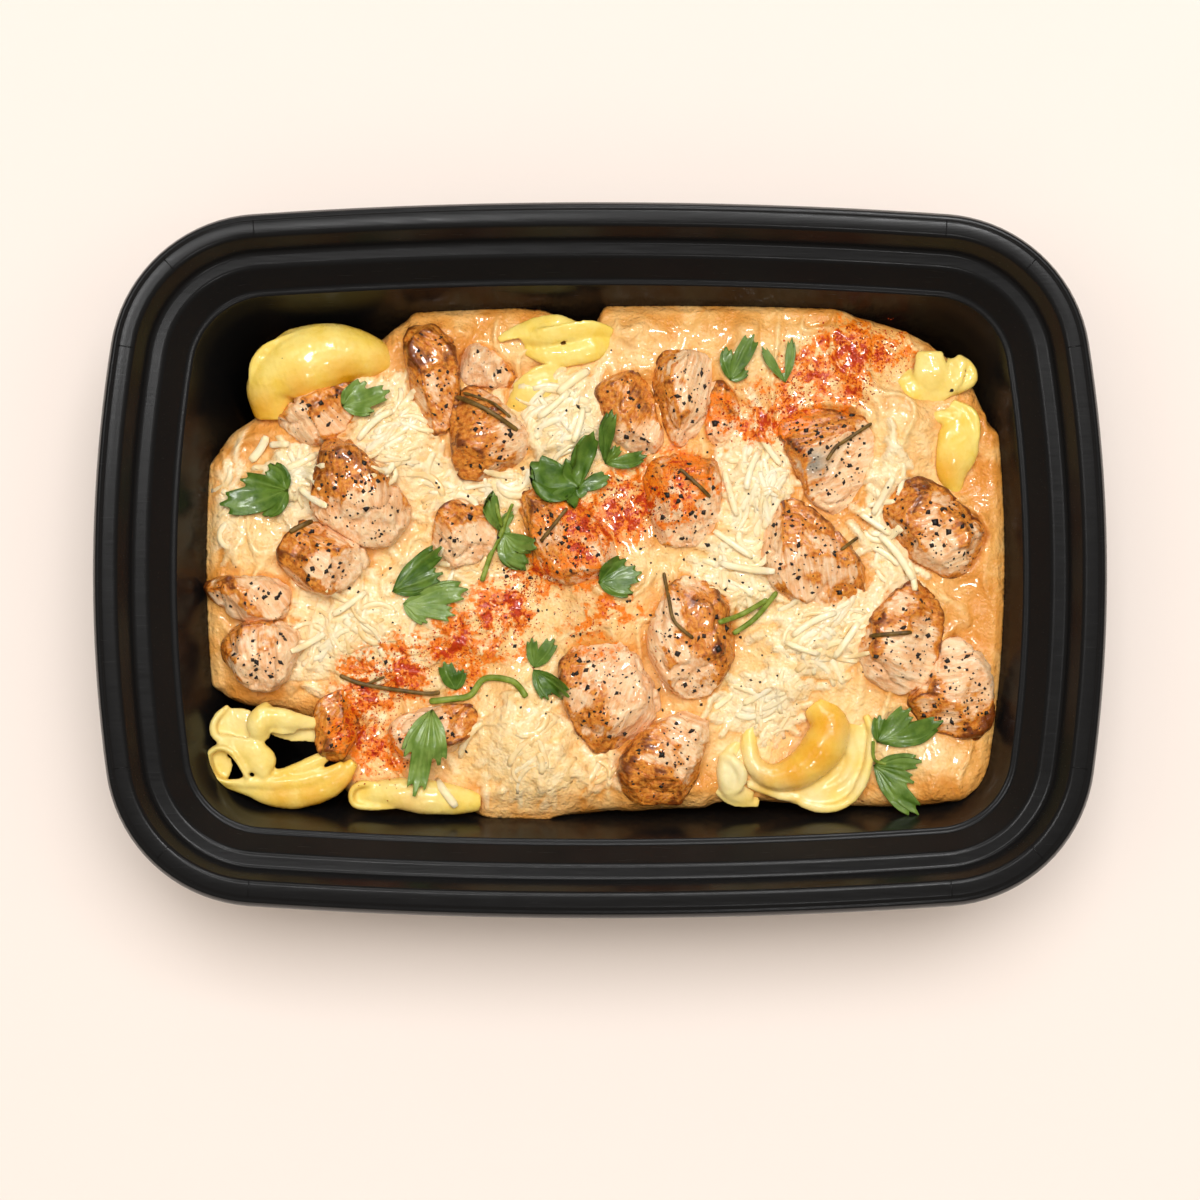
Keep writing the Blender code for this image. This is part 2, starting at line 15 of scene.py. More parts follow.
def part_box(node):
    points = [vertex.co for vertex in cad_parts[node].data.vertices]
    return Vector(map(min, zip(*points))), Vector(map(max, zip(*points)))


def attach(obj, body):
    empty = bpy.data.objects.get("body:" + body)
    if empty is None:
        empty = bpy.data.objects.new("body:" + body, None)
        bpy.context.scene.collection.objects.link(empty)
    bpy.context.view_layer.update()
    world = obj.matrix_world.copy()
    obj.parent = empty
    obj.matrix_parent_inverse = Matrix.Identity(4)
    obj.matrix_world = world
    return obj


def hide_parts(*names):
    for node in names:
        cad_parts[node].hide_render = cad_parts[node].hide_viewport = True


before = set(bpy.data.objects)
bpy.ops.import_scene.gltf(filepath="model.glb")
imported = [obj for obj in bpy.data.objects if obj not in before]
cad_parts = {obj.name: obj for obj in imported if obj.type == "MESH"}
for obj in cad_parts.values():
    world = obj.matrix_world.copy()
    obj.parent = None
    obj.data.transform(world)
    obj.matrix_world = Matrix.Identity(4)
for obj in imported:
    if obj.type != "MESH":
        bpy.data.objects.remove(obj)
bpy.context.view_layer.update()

MM = 0.001
RANDOM = np.random.default_rng(20)

# --- Sizes, in millimetres ---------------------------------------------------------------------

LOW, HIGH = (np.array(corner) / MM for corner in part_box("tray"))
TRAY_LENGTH, TRAY_WIDTH, TRAY_HEIGHT = HIGH - LOW
LONG_SIDE_RADIUS = 1083.0
SHORT_SIDE_RADIUS = 318.0
LONG_SIDE_CENTRE = np.array([0.0, TRAY_WIDTH / 2 - LONG_SIDE_RADIUS])
SHORT_SIDE_CENTRE = np.array([TRAY_LENGTH / 2 - SHORT_SIDE_RADIUS, 0.0])
CORNER_RADIUS = 33.0
WALL = 1.0
LEDGE_HEIGHT = 43.8
STEP_HEIGHT = 38.0
STEP_INSET = 16.4
SKIRT_HEIGHT = 44.5
FLOOR = 1.2
FILLET_INSET = 24.6
FILLET_HEIGHT = 5.0
EDGE_ROUNDING = 0.45
WALL_GAUGES = (20.0, 30.0)  # heights at which the inner wall's outline is taken
MOULD_LINE_WIDTH = 0.25

SAUCE_LEVEL = 26.4
SAUCE_TILT = (3.0 / 90.0, 1.6 / 57.0)  # rise along X and along Y
FREE_EDGE = (5.5, 6.0)  # drop and width of the rounded edge where the sauce stands free
WALL_EDGE = (1.2, 2.0)  # the same where it meets the wall
SAUCE_CELLS = (380, 244)
SAUCE_SIDE_LEVELS = (14.0, FILLET_HEIGHT, FLOOR + 0.1)  # heights of the rings below its edge
SAUCE_SIDE_GAP = 0.6  # how far those rings stay off the wall
SAUCE_MOUNDS = [  # x, y, rise (below zero for a dip), radius
    (5, 2, 2.6, 40), (67.5, 29, 3.8, 9), (55, 40, 1.6, 12), (2, -10.5, 4, 9.5), (-14, -44, 5, 10.5),
    (-20, -35, 2.4, 9), (-76, 2, 3.6, 6), (-84, 8, 1.8, 6), (-86, -6, 1.2, 5), (9, 52, 2.4, 8),
    (-36, 52, 2, 6), (-19, 53, 1.6, 8), (30, 49, 1.6, 12), (33, -1, 2, 6), (24, 6, 1.6, 6),
    (42, -22, 2.4, 8), (8, -53, 1.8, 6), (76, -46, 2.2, 9), (-47, 26, 4, 10), (-66, 17, 2.6, 7),
    (-52, -14, 3, 13), (-34, -12, 2.2, 10), (-9, 31, 3.4, 10), (34, 16, 3, 8), (50, -14, 2, 10),
    (46, -43, -3, 11), (55, -47, -1.5, 6), (73.5, 40.5, -2.4, 6.5), (80, 24.5, -2.4, 7),
    (-14.5, 38.5, -2, 6),
]
SAUCE_SHORE = [  # the edge of the food, clockwise from the left
    (-92, 1), (-92, 14), (-87.5, 21), (-84.4, 27), (-80.4, 31.3), (-66, 40), (-50, 50.5), (-44.8, 54),
    (-36, 58), (-26.9, 58), (-13.4, 56.4), (-2.2, 54.2), (1.1, 57.2), (9, 59.6), (36, 58.8), (50, 56.8),
    (62.7, 53.8), (72, 50), (79.5, 44), (84.2, 37), (88, 28), (93, 18), (95, 0), (95, -14), (92, -26),
    (88.9, -34.5), (86.4, -44.4), (82, -50), (76.4, -52.8), (57.6, -53.8), (36, -52.4), (26.6, -52.8),
    (19.9, -53.9), (-6.6, -55.5), (-14, -57.5), (-22, -57), (-30, -54.8), (-48.7, -53.5),
    (-56.5, -50.5), (-58.5, -45), (-60, -40), (-62.5, -35.5), (-70, -32.5), (-80, -30.8),
    (-86.5, -26.5), (-88.2, -17), (-91, -8),
]

# Each chicken chunk, in the order of the nodes' numbers: share of it that is browned, and the
# direction of its brownest side.
ROASTING = [
    (0.4, 20), (0.48, 115), (0.55, 180), (0.25, 170), (0.28, 150), (0.88, 80), (0.05, 0), (0.72, 190),
    (0.4, 100), (0.6, 140), (0.62, 90), (0.35, 180), (0.35, 90), (0.42, 95), (0.45, 125), (0.5, 10),
    (0.55, 100), (0.42, 55), (0.35, 235), (0.36, 205), (0.62, 225), (0.55, 15), (1, 0), (0.35, 10),
]

CHUNK_GRAIN = 0.5
CHUNK_SWELL = 1.1
KNIFE_CUTS = 12
CHUNK_BURIED = 4.6  # how far below a chunk's top the sauce stays inside its outline
SKIN_PATCH = [(46.5, 21.5, 3.4, 1.0)]  # a patch of grey skin: x, y, radius, strength
CHAR_PATCH = [(84.5, -36.5, 4.5, 1.0)]  # a burnt corner

# Where paprika was dusted: x, y, radius, strength.
PAPRIKA = [
    (55, 47, 6, 1), (63, 47, 5, 0.8), (47, 43, 6, 0.7), (55.5, 38, 4, 0.8), (43, 36, 5, 0.9),
    (36, 32, 6, 0.7), (28, 33, 5, 0.4), (16, 17, 7.5, 0.7), (8.5, 12, 6, 0.9), (3, 14, 5, 0.9),
    (-3, 6, 7, 1), (-15, -3.5, 6, 0.9), (-21, -12, 7, 0.9), (-31, -19, 7, 0.8), (-42, -23, 6, 0.7),
    (-50, -27, 6, 1), (-53, -36, 5, 0.9), (-48, -42, 6, 0.5), (0, -12, 9, 0.3),
]

STRAND_SIDES = 20
STRAND_STEPS = 9
DOUGH_GRAIN = 0.36  # edge of the small cubes that one skin round the strands is made with
# Strands of dough: stations (x, y, z, half width, half thickness) and a twist about the run, in degrees.
TORTELLINI = {
    "tortellino_1": [
        ([(-72.8, 32.6, 23.5, 4, 3.6), (-72.4, 39.6, 25.2, 6.4, 5.4), (-66.5, 44.2, 26.4, 8.2, 6.4),
          (-58.3, 46.4, 26.4, 7.2, 6), (-50.8, 46, 25.2, 4.8, 4.4), (-46.4, 44.4, 24, 2.4, 2.6)], 4),
        ([(-68, 50.4, 30, 0.6, 0.5), (-73.4, 48, 30, 0.9, 0.6), (-76.4, 44.2, 29, 1.1, 0.7),
          (-76.8, 39.6, 27.6, 1, 0.7), (-75.6, 34.4, 25.5, 0.7, 0.6)], 0),
    ],
    "tortellino_2": [
        ([(-22.6, 49.6, 28.6, 0.8, 0.6), (-18.6, 51, 29.6, 1.9, 0.6), (-14, 52.6, 30.4, 2.2, 0.6),
          (-9, 53.2, 30.8, 1.9, 0.6), (-5, 52.4, 30.2, 1.2, 0.6)], 24),
        ([(-17.5, 49.4, 29.4, 1, 0.7), (-12.5, 49.8, 31.4, 2, 0.7), (-7, 50.8, 32.2, 2.2, 0.7),
          (-1.5, 51.4, 31.6, 2.1, 0.7), (2.8, 50.8, 30, 1.3, 0.7)], -22),
        ([(-16.8, 47.4, 28.6, 1.2, 0.9), (-11.4, 45.8, 29.7, 2.3, 1.2), (-6, 46, 30.3, 2.6, 1.4),
          (-1.2, 47.4, 30.4, 2.8, 1.4), (2.4, 49.4, 29, 1.6, 0.9)], -8),
        ([(-6.5, 41.2, 28.2, 1.2, 0.9), (-11.7, 39.4, 29.8, 3, 1.7), (-16.3, 36.8, 29.8, 3.4, 1.9),
          (-20, 33.8, 27.8, 1.6, 1.1)], 8),
        ([(-8, 43.2, 29, 0.8, 0.5), (-13.5, 42.2, 30.6, 1.4, 0.6), (-19, 38.8, 29.6, 0.9, 0.5)], 35),
    ],
    "tortellino_3": [
        ([(73.8, 35, 28, 0.9, 0.7), (70.4, 38.6, 30.2, 3.6, 1.1), (66.4, 41.6, 29.6, 2.4, 0.8)], -14),
        ([(73.8, 35.2, 28.8, 0.9, 0.8), (72.8, 40.8, 31.4, 3.8, 1.3), (72.6, 46.6, 31.2, 3, 0.8)], 6),
        ([(74.4, 35.4, 29, 0.8, 0.8), (76.8, 40, 31.4, 2.9, 1), (78.6, 44.8, 31, 2.3, 0.8)], 24),
        ([(74.6, 36.4, 29.6, 0.7, 0.8), (78.6, 38.2, 30.6, 1.2, 1.1), (81.6, 40.4, 31, 1.4, 1.3),
          (81.2, 43.4, 30.8, 1, 1), (78.6, 45.6, 30.8, 0.7, 0.7)], 0),
    ],
    "tortellino_4": [
        ([(74.6, 34.6, 28.8, 1.4, 1), (78.4, 31.2, 30.6, 4, 1.9), (78.6, 25.4, 30.6, 4.8, 2.3),
          (77.6, 20, 29.6, 3.8, 1.7), (78.8, 14.6, 27.6, 0.8, 0.7)], 6),
        ([(70.4, 30.8, 29.2, 0.7, 0.7), (74, 32, 30.6, 1.5, 1.1), (77.4, 31.8, 31.4, 1.6, 1.2)], 0),
        ([(77.6, 35.6, 30.2, 0.7, 0.7), (81.6, 33.2, 31.4, 1, 1), (82.8, 28.6, 31.4, 1, 1),
          (81.2, 22.6, 30.2, 0.7, 0.7)], 20),
    ],
    "tortellino_5": [
        ([(-84, -48.6, 25.2, 0.5, 0.5), (-77.8, -49.5, 25, 1.8, 1.5), (-72.4, -50.6, 24.2, 3, 2.5),
          (-67.2, -50.8, 24, 3.3, 3), (-62, -49.7, 24.2, 3.2, 2.8), (-57.8, -47.6, 24.8, 2.6, 2.2),
          (-54.2, -43.6, 25, 1.3, 1.3)], 0),
        ([(-85, -48.3, 25.8, 0.5, 0.5), (-78, -48.2, 26.4, 1.2, 0.9), (-72.6, -48.2, 26.4, 1.6, 1),
          (-66.8, -48, 26.4, 1.7, 1), (-61.4, -46.8, 26.4, 1.6, 1), (-56.4, -44.4, 26, 1.2, 0.9)], 0),
        ([(-73.4, -46.6, 24.6, 1.2, 1.2), (-69.6, -46.4, 25.2, 1.5, 1.4),
          (-66.4, -45.4, 25.6, 1.7, 1.5), (-63, -43.8, 25.8, 1.7, 1.5),
          (-59.4, -41.8, 25.4, 1.3, 1.2)], 0),
        ([(-72.8, -31.2, 26.8, 1.1, 1.2), (-74.4, -33.2, 28, 2.2, 1.9), (-75, -35.9, 28, 2.7, 2.1),
          (-74, -38.8, 26.6, 1.6, 1.3)], 0),
        ([(-73.4, -33.5, 28.2, 2.2, 1.5), (-69.8, -34.2, 28.4, 2.4, 1.5),
          (-66.2, -34.8, 27.8, 1.9, 1.2), (-62.4, -35.2, 26.6, 1.4, 1)], -10),
        ([(-72.6, -36.4, 27.4, 0.7, 0.6), (-70, -36.8, 28, 1, 0.7), (-67, -36.8, 27.2, 0.7, 0.6)], 0),
        ([(-84.6, -34.4, 24.8, 0.8, 0.5), (-82.6, -35, 25.2, 3.2, 0.6), (-79, -35.6, 25.4, 3.8, 0.6),
          (-75.4, -36, 25.4, 3, 0.6)], 0),
        ([(-73, -37, 24.4, 0.8, 0.5), (-69, -37.4, 24.8, 1.8, 0.5), (-64.5, -37.4, 24.6, 2, 0.5),
          (-60.5, -38.6, 24, 1.4, 0.5)], 0),
        ([(-82, -31.4, 25.6, 0.6, 0.7), (-84.4, -33.8, 26.4, 0.8, 1), (-85.2, -36.4, 26.6, 0.9, 1.1),
          (-84, -38.6, 26.6, 0.9, 0.9), (-80.8, -39.4, 26.8, 0.9, 0.7), (-77, -39.8, 27, 0.7, 0.6)], 0),
        ([(-84, -38.4, 26, 0.8, 0.7), (-80.2, -39.8, 27, 2, 1.1), (-76.6, -41.4, 27.2, 3, 1.6),
          (-73.4, -42.8, 26.6, 2.2, 1.5), (-72.4, -45, 26, 1.1, 1.1)], -6),
        ([(-76.8, -40, 26.4, 2.4, 1.4), (-75.2, -43.2, 26.8, 3.5, 1.7), (-74.2, -45.8, 26.6, 2.2, 1.5),
          (-74.4, -47.6, 26.2, 0.9, 0.9)], 0),
        ([(-77.4, -47.3, 26.8, 0.7, 1.2), (-79.2, -43.9, 26.6, 0.8, 2.2),
          (-81.2, -41.3, 26.4, 0.8, 2.4), (-83.8, -40.5, 26.2, 0.8, 2.4), (-86, -42, 26, 0.8, 2.2),
          (-86, -44.6, 25.8, 0.8, 2), (-84.4, -47.2, 25.8, 0.8, 1.4), (-81.4, -48.4, 26, 0.8, 1)], 0),
        ([(-83, -40.6, 25, 0.8, 0.5), (-83.8, -42.4, 24.8, 2.2, 0.6), (-83.2, -45, 24.6, 2.4, 0.6),
          (-82.4, -47.4, 24.8, 0.8, 0.5)], 0),
    ],
    "tortellino_6": [
        ([(-53.8, -51.3, 24.8, 1.8, 1.4), (-48, -50.4, 25.8, 3, 2.4), (-40, -51, 26.2, 4, 3),
          (-32.5, -52, 25.4, 3.4, 2.6), (-26.5, -52.5, 24, 2, 1.8)], 8),
        ([(-48.6, -48.6, 26.6, 0.7, 0.6), (-52.6, -48.6, 27.2, 0.8, 1.2),
          (-54.6, -50.4, 26.8, 0.8, 1.5), (-54, -53, 26.2, 0.8, 1.4), (-50.4, -53.6, 26.6, 0.8, 0.8),
          (-45, -53.4, 27, 0.8, 0.6)], 0),
        ([(-50.6, -51, 26.4, 0.6, 0.6), (-47, -50.8, 27.8, 0.8, 0.6),
          (-42, -51.4, 28.4, 0.7, 0.5)], 10),
    ],
    "tortellino_7": [
        ([(33.6, -35, 25.4, 1.5, 1.6), (32.8, -39.2, 26.2, 1.9, 2.1), (34, -44.2, 26.8, 2.2, 2.6),
          (38.4, -46.9, 27.2, 3.1, 3.2), (44.6, -44.9, 27.8, 4.2, 3.8), (49.2, -39.8, 28.2, 4.8, 4),
          (50.2, -35.4, 28, 4.4, 3.6), (47.4, -31.4, 26.2, 3, 2.4)], 0),
        ([(32.2, -47.2, 25.6, 1, 0.7), (36, -49.4, 26, 1.5, 0.8), (40.6, -50.2, 26.2, 2, 0.8),
          (45.6, -50.6, 26.4, 3.2, 0.8), (50.8, -49.4, 26.4, 4.4, 0.8), (54.8, -45.4, 26.6, 4, 0.8),
          (56.8, -40.4, 27, 3.4, 0.8), (57, -35.2, 27, 2.6, 0.8)], 0),
        ([(32.4, -48.6, 26, 0.7, 0.7), (39, -51, 26.8, 0.9, 0.8), (43, -51.6, 26.8, 0.9, 0.8),
          (45, -53, 26.8, 1, 0.8), (48, -53.8, 27, 1.1, 0.9), (51.8, -53.6, 27.4, 1.1, 0.9),
          (55.6, -51.3, 27.8, 1.1, 1), (57.8, -47.4, 28.2, 1.1, 1.1), (59.1, -42.8, 28.6, 1.1, 1.2),
          (59.8, -37, 28.6, 1.1, 1.2), (58.2, -33.4, 28, 0.9, 0.9)], 0),
        ([(55.4, -35.4, 27.4, 0.8, 0.8), (54.8, -39.2, 27.6, 1.4, 1.1), (55.6, -43, 27.4, 1.5, 1.1),
          (53.6, -47, 27, 1.1, 0.9), (49.6, -50, 26.8, 0.8, 0.7)], 0),
    ],
    "tortellino_8": [
        ([(30.8, -39.4, 25.2, 1.4, 1.2), (28.4, -42.6, 26, 2, 1.8), (28, -46.6, 26.2, 2.5, 2.2),
          (29.6, -50, 25.4, 2.6, 1.8), (33.6, -51.6, 24.4, 1.8, 1)], 0),
        ([(26.4, -42.4, 26.4, 0.9, 0.9), (29.2, -43.4, 27.8, 1.3, 1.2), (31.2, -46.2, 27.8, 1.3, 1.2),
          (30.4, -49.4, 27, 1.1, 1), (27.6, -50.6, 26.2, 0.9, 0.8)], 0),
        ([(28, -45.6, 27.6, 0.7, 0.7), (27.2, -47.6, 27.6, 0.9, 0.8), (28.4, -49.4, 27, 0.7, 0.6)], 0),
        ([(25.6, -49.8, 25.2, 1, 0.6), (29.6, -52.2, 24.8, 1.5, 0.6), (35.2, -52.6, 24, 1.2, 0.6)], 10),
    ],
}

# Where the dough is a deep yolk yellow: x, y, radius, strength.
GOLDEN = [
    (36, -46.5, 5, 0.8), (42, -46.5, 5, 1), (47, -42, 5.5, 1), (50, -36, 5, 1), (-70, -51.5, 4, 0.6),
    (-63, -52, 4.5, 0.7), (-57, -48, 4, 0.6), (-56, 41, 5, 0.8), (-66, 38.5, 4, 0.7),
    (-75, 34, 4.5, 0.8), (-48, 44, 4, 0.6), (75.5, 20, 4, 0.8), (73, 28, 3, 0.4), (-42, -53.5, 4, 0.5),
]
CREAMY = [  # where it is paler and whiter
    (29, -46, 6.5, 1), (57.5, -40, 4.5, 0.65), (55.5, -48, 4.5, 0.65), (47, -52, 4, 0.65),
    (40, -51.5, 3.5, 0.5), (-12, 38, 7, 0.3), (-80, -35.5, 8, 0.45), (-66, -36, 7, 0.4),
    (-78, -44, 6, 0.3), (-40, -49.5, 9, 0.35), (74, 42, 7, 0.25),
]
COATED = {"tortellino_7": 0.05}  # how much sauce clings to it

# Where shredded cheese lies: x, y, reach along X and Y, number of shreds, their main direction, whiteness.
CHEESE = [
    (-66, 17.5, 5, 6.5, 58, -50, 0.95), (-47.5, 27, 7, 9, 84, 38, 0.55), (-38, 18, 6, 6, 30, 20, 0.45),
    (-9, 32, 8, 7, 96, 28, 0.85), (-24, 16.5, 7, 3, 30, 10, 0.7), (-56, -13, 11, 8, 90, -32, 0.5),
    (-62, -18.5, 6, 4, 30, 40, 0.75), (-48, -24, 8, 5, 30, 10, 0.45), (34, 16, 5.5, 11, 90, 72, 0.85),
    (31, -2, 7, 7, 56, -30, 0.7), (52, -15.5, 11, 7, 100, 28, 0.62), (64, 8, 4, 12, 44, -58, 0.9),
    (36, -30.5, 6, 5, 60, 30, 0.9), (-34, -5, 9, 8, 26, 0, 0.35), (-16, -42, 9, 8, 36, 60, 0.25),
    (-83, 12, 3, 9, 14, 75, 0.5), (1, -45.5, 7, 1.5, 12, 20, 0.3),
]
MELTED_SHREDS = 2  # melted shreds for each one that is counted
SOLID_SHREDS = 0.32  # shreds with a shape of their own for each one that is counted
# Broad shreds that lie on top: x, y, direction, length, width.
LOOSE_CHEESE = [
    (-75.5, 25.5, 55, 6.5, 2), (-71, 26.5, 0, 4.5, 1.6), (-6, 40, 38, 8.5, 2.1),
    (-33.8, -50.5, -52, 7.5, 1.9), (65.5, 1.5, -54, 12.5, 1.8), (62, 14.5, 62, 9, 1.6),
    (60.5, 8.5, -35, 8, 1.5), (68.5, -3, -80, 6.5, 1.5), (33, 20.5, 70, 9.5, 1.6),
    (28.5, 15, -75, 10, 1.5), (37, 25, -55, 9, 1.5), (32, -1.5, -10, 12, 1.7), (29, 4, -35, 10, 1.5),
    (46.5, -13, 28, 11, 1.6), (54, -17, 55, 9.5, 1.6), (44, -19, -20, 8, 1.4), (-66.5, 22, 25, 9, 1.7),
    (-63, 14, -35, 8, 1.6), (-10, 34.5, 40, 9, 1.6), (-4.5, 30, 75, 8, 1.6), (-64, -17.5, 30, 8, 1.6),
    (-55, -9, 35, 9, 1.5), (-50, 31, 40, 10, 1.7),
]

# Leaves: x and y of the base, lobes (direction, length, half spread), lift at the tips, paleness.
LEAVES = [
    (-57, 34.7, [(45, 7.6, 24), (16, 11.2, 17), (-10, 7.5, 15)], 2.5, 0.6),
    (-68.6, 16, [(191, 15.8, 17), (166, 11.4, 17), (127, 7.4, 26), (222, 8, 20)], 1, 0.1),
    (-4.8, 16.3, [(153, 11.8, 24), (76, 12.8, 15), (112, 7, 20), (22, 7.4, 22), (-100, 5, 12)], 1.8, 0),
    (1.1, 21.8, [(82, 11.6, 10), (10, 9.4, 13), (48, 5, 20)], 2.5, 0.15),
    (28.5, 40, [(62, 11.2, 16), (96, 7.4, 15), (28, 4.6, 20)], 2, 0.15),
    (40.8, 39.6, [(124, 9.4, 8), (82, 10, 8)], 1.5, 0.4),
    (-45.8, -6.3, [(41, 14.8, 13), (20, 12, 14), (3, 7, 13)], 1.5, 0),
    (-43.4, -8.9, [(12, 14.8, 14), (-13, 12, 14), (-38, 7, 16)], 0.8, 0.7),
    (-21.9, 6.7, [(-25, 9, 18), (-56, 10.2, 16), (100, 9.4, 8), (60, 5.5, 14)], 1.5, 0.45),
    (-0.4, -4.5, [(40, 8, 22), (13, 9.8, 20), (-17, 8, 18)], 1.5, 0.1),
    (-31.8, -28, [(112, 6.8, 24), (70, 5, 20)], 2, 0),
    (-36.8, -32, [(-101, 19.5, 11), (-82, 12.5, 15), (-119, 12, 12)], 1, 0.75),
    (-14.5, -23.1, [(55, 7.8, 19), (94, 6.6, 17)], 1.5, 0.2),
    (-14.7, -23.3, [(-38, 10.2, 14), (-64, 7.6, 17)], 1.5, 0),
    (60.7, -39.4, [(18, 14.8, 12), (46, 10.4, 19), (84, 6, 22)], 1.2, 0.2),
    (60.1, -44.4, [(5, 10.2, 15), (-48, 14.6, 13), (-24, 9.4, 17)], 1, 0.3),
]
LEAF_THICKNESS = 0.2
LEAF_RINGS, LEAF_SPOKES = 13, 72
LOBE_MARGIN = 1.3  # how much wider a lobe's base is than its stated spread

# Grains: the sizes there are, and the share of each.
CHUNK_PEPPER = ([0.2, 0.34, 0.52, 0.74], [0.34, 0.32, 0.23, 0.11])
SAUCE_PEPPER = ([0.18, 0.28, 0.45, 0.65], [0.4, 0.35, 0.2, 0.05])
PAPRIKA_POWDER = ([0.11, 0.18, 0.28], [0.55, 0.33, 0.12])

# Stems and needles: points (x, y), half width, lift above what they lie on, and fresh green or dry.
STEMS = [
    ([(-37.5, -30.4), (-32, -29.8), (-28.5, -29), (-25.3, -25.4), (-19.2, -26),
      (-16.1, -29.5)], 0.75, 0.9, True),
    ([(-26, -4), (-24, 2), (-21.8, 6.5), (-20.6, 10.5)], 0.6, 1.2, True),
    ([(-21.6, 8), (-23.6, 15.5)], 0.45, 1.6, True),
    ([(-21, 9), (-19.2, 13)], 0.4, 1.4, True),
    ([(25.7, -13.4), (31, -11.4), (36.6, -8.2)], 0.62, 1.6, True),
    ([(29.2, -15.6), (34, -12.2), (38.6, -6.6)], 0.62, 1.8, True),
    ([(59.7, -39), (60, -43), (63, -44.2)], 0.4, 0.6, True),
    ([(-31.6, 36.5), (-24.6, 33), (-18.1, 28.8)], 0.55, 0.8, False),
    ([(-30, 37.4), (-24, 35), (-19.5, 31.5)], 0.35, 1, False),
    ([(49.5, 22.1), (51.4, 24.9), (53.2, 26.2), (59.5, 30.4)], 0.42, 0.8, False),
    ([(14, -2.2), (15, -8.3), (16.1, -13.1), (20.1, -16.8)], 0.42, 0.8, False),
    ([(58.9, -16.2), (67.6, -15.5)], 0.5, 0.7, False),
    ([(-12.9, 4.4), (-7.2, 11.6)], 0.42, 0.8, False),
    ([(-57.3, -24.7), (-51.7, -26.7), (-39.2, -28.6), (-35.3, -28.4)], 0.5, 0.9, False),
    ([(-51.7, -26.7), (-47.5, -25)], 0.3, 1, False),
    ([(17.4, 20.1), (24, 14)], 0.42, 0.6, False),
    ([(-68, 6.6), (-63.4, 9.2)], 0.6, 0.7, False),
    ([(52.5, 2.5), (56.5, 5.5)], 0.4, 0.6, False),
]

CAMERA_PLACE = (0.0, -35.9, 550.0)
CAMERA_TILT = 3.05
CAMERA_LENS = 71.2

# Between these two values lies most of a noise pattern.
NOISE_LOW, NOISE_HIGH = 0.3, 0.7

# Lights, in metres and watts: name, place, size, power, colour.
DAYLIGHT, WARM, WARMEST, WHITE = (0.98, 0.99, 1.0), (1.0, 0.90, 0.80), (1.0, 0.89, 0.78), (1.0, 1.0, 1.0)
SOFT_LIGHTS = [
    ("key_light", (0.14, 0.62, 2.2), (1.5, 1.1), 37.0, DAYLIGHT),
    ("left_light", (-1.0, 0.0, 2.0), (0.9, 1.4), 7.0, WARMEST),
    ("right_light", (1.0, 0.0, 2.0), (0.9, 1.4), 5.5, WARMEST),
    ("fill_light", (0.0, -0.3, 2.6), (3.0, 3.0), 18.0, WARM),
]
GLINT_LIGHTS = [
    ("window_glint", (0.40, 0.80, 2.0), (0.30, 0.22), 14.0, WHITE),
    ("side_glint", (-0.60, 0.45, 2.0), (0.16, 0.16), 6.0, WHITE),
    ("back_sheen", (0.0, 1.9, 1.3), (2.0, 0.5), 20.0, WHITE),
    ("top_sheen", (0.0, 0.52, 2.0), (1.8, 0.36), 3.5, WHITE),
    ("front_glint", (0.25, -0.75, 2.0), (0.14, 0.14), 4.0, WHITE),
    ("middle_glint", (-0.18, 0.42, 2.0), (0.12, 0.12), 4.0, WHITE),
    ("far_glint", (0.10, 1.30, 1.8), (0.24, 0.20), 9.0, WHITE),
]
FLOOR_HALF = 2.5  # half the pale floor's side, in metres
SKY_COLOR = (1.0, 0.88, 0.76)
SKY_STRENGTH = 0.25


# --- Small tools ---------------------------------------------------------------------------------


def lattice_noise(points, size, seed):
    """Smooth random values from -1 to 1, one for each point, that change over a distance of size."""
    grid = np.asarray(points) / size + seed * 7.13
    cell = np.floor(grid).astype(np.int64)
    part = grid - cell
    part = part * part * (3.0 - 2.0 * part)
    total = np.zeros(len(grid))
    for corner in itertools.product((0, 1), repeat=3):
        index = cell + corner
        mixed = (index[:, 0] * 73856093) ^ (index[:, 1] * 19349663) ^ (index[:, 2] * 83492791)
        mixed = (mixed * 2654435761 + seed * 97) & 0xFFFFFFFF
        mixed ^= mixed >> 15
        mixed = (mixed * 2246822519) & 0xFFFFFFFF
        mixed ^= mixed >> 13
        weight = np.prod(np.where(corner, part, 1.0 - part), axis=1)
        total += weight * (mixed / 2.0**31 - 1.0)
    return total


def layered_noise(points, size, seed, layers=3):
    total = np.zeros(len(points))
    for layer in range(layers):
        total += lattice_noise(points, size / 2.0**layer, seed + 31 * layer) / 2.0**layer
    return total


def smoothstep(low, high, values):
    share = np.clip((values - low) / (high - low), 0.0, 1.0)
    return share * share * (3.0 - 2.0 * share)


def smooth_curve(stations, steps, closed=False):
    """Catmull-Rom points through the stations, as an array."""
    stations = np.asarray(stations, float)
    count = len(stations)
    points = []
    for span in range(count if closed else count - 1):
        picks = [span + k for k in (-1, 0, 1, 2)]
        picks = [pick % count if closed else min(max(pick, 0), count - 1) for pick in picks]
        a, b, c, d = stations[picks]
        for step in range(steps):
            t = step / steps
            straight = 2 * b + (c - a) * t
            square = (2 * a - 5 * b + 4 * c - d) * t**2
            cube = (3 * b - a - 3 * c + d) * t**3
            points.append(0.5 * (straight + square + cube))
    if not closed:
        points.append(stations[-1])
    return np.array(points)


def grid_faces(rows, columns, wrap=True):
    """Quads between consecutive rows of points."""
    faces = []
    for start in range(0, (rows - 1) * columns, columns):
        for column in range(columns if wrap else columns - 1):
            after = (column + 1) % columns
            faces.append((start + column, start + after, start + columns + after, start + columns + column))
    return faces


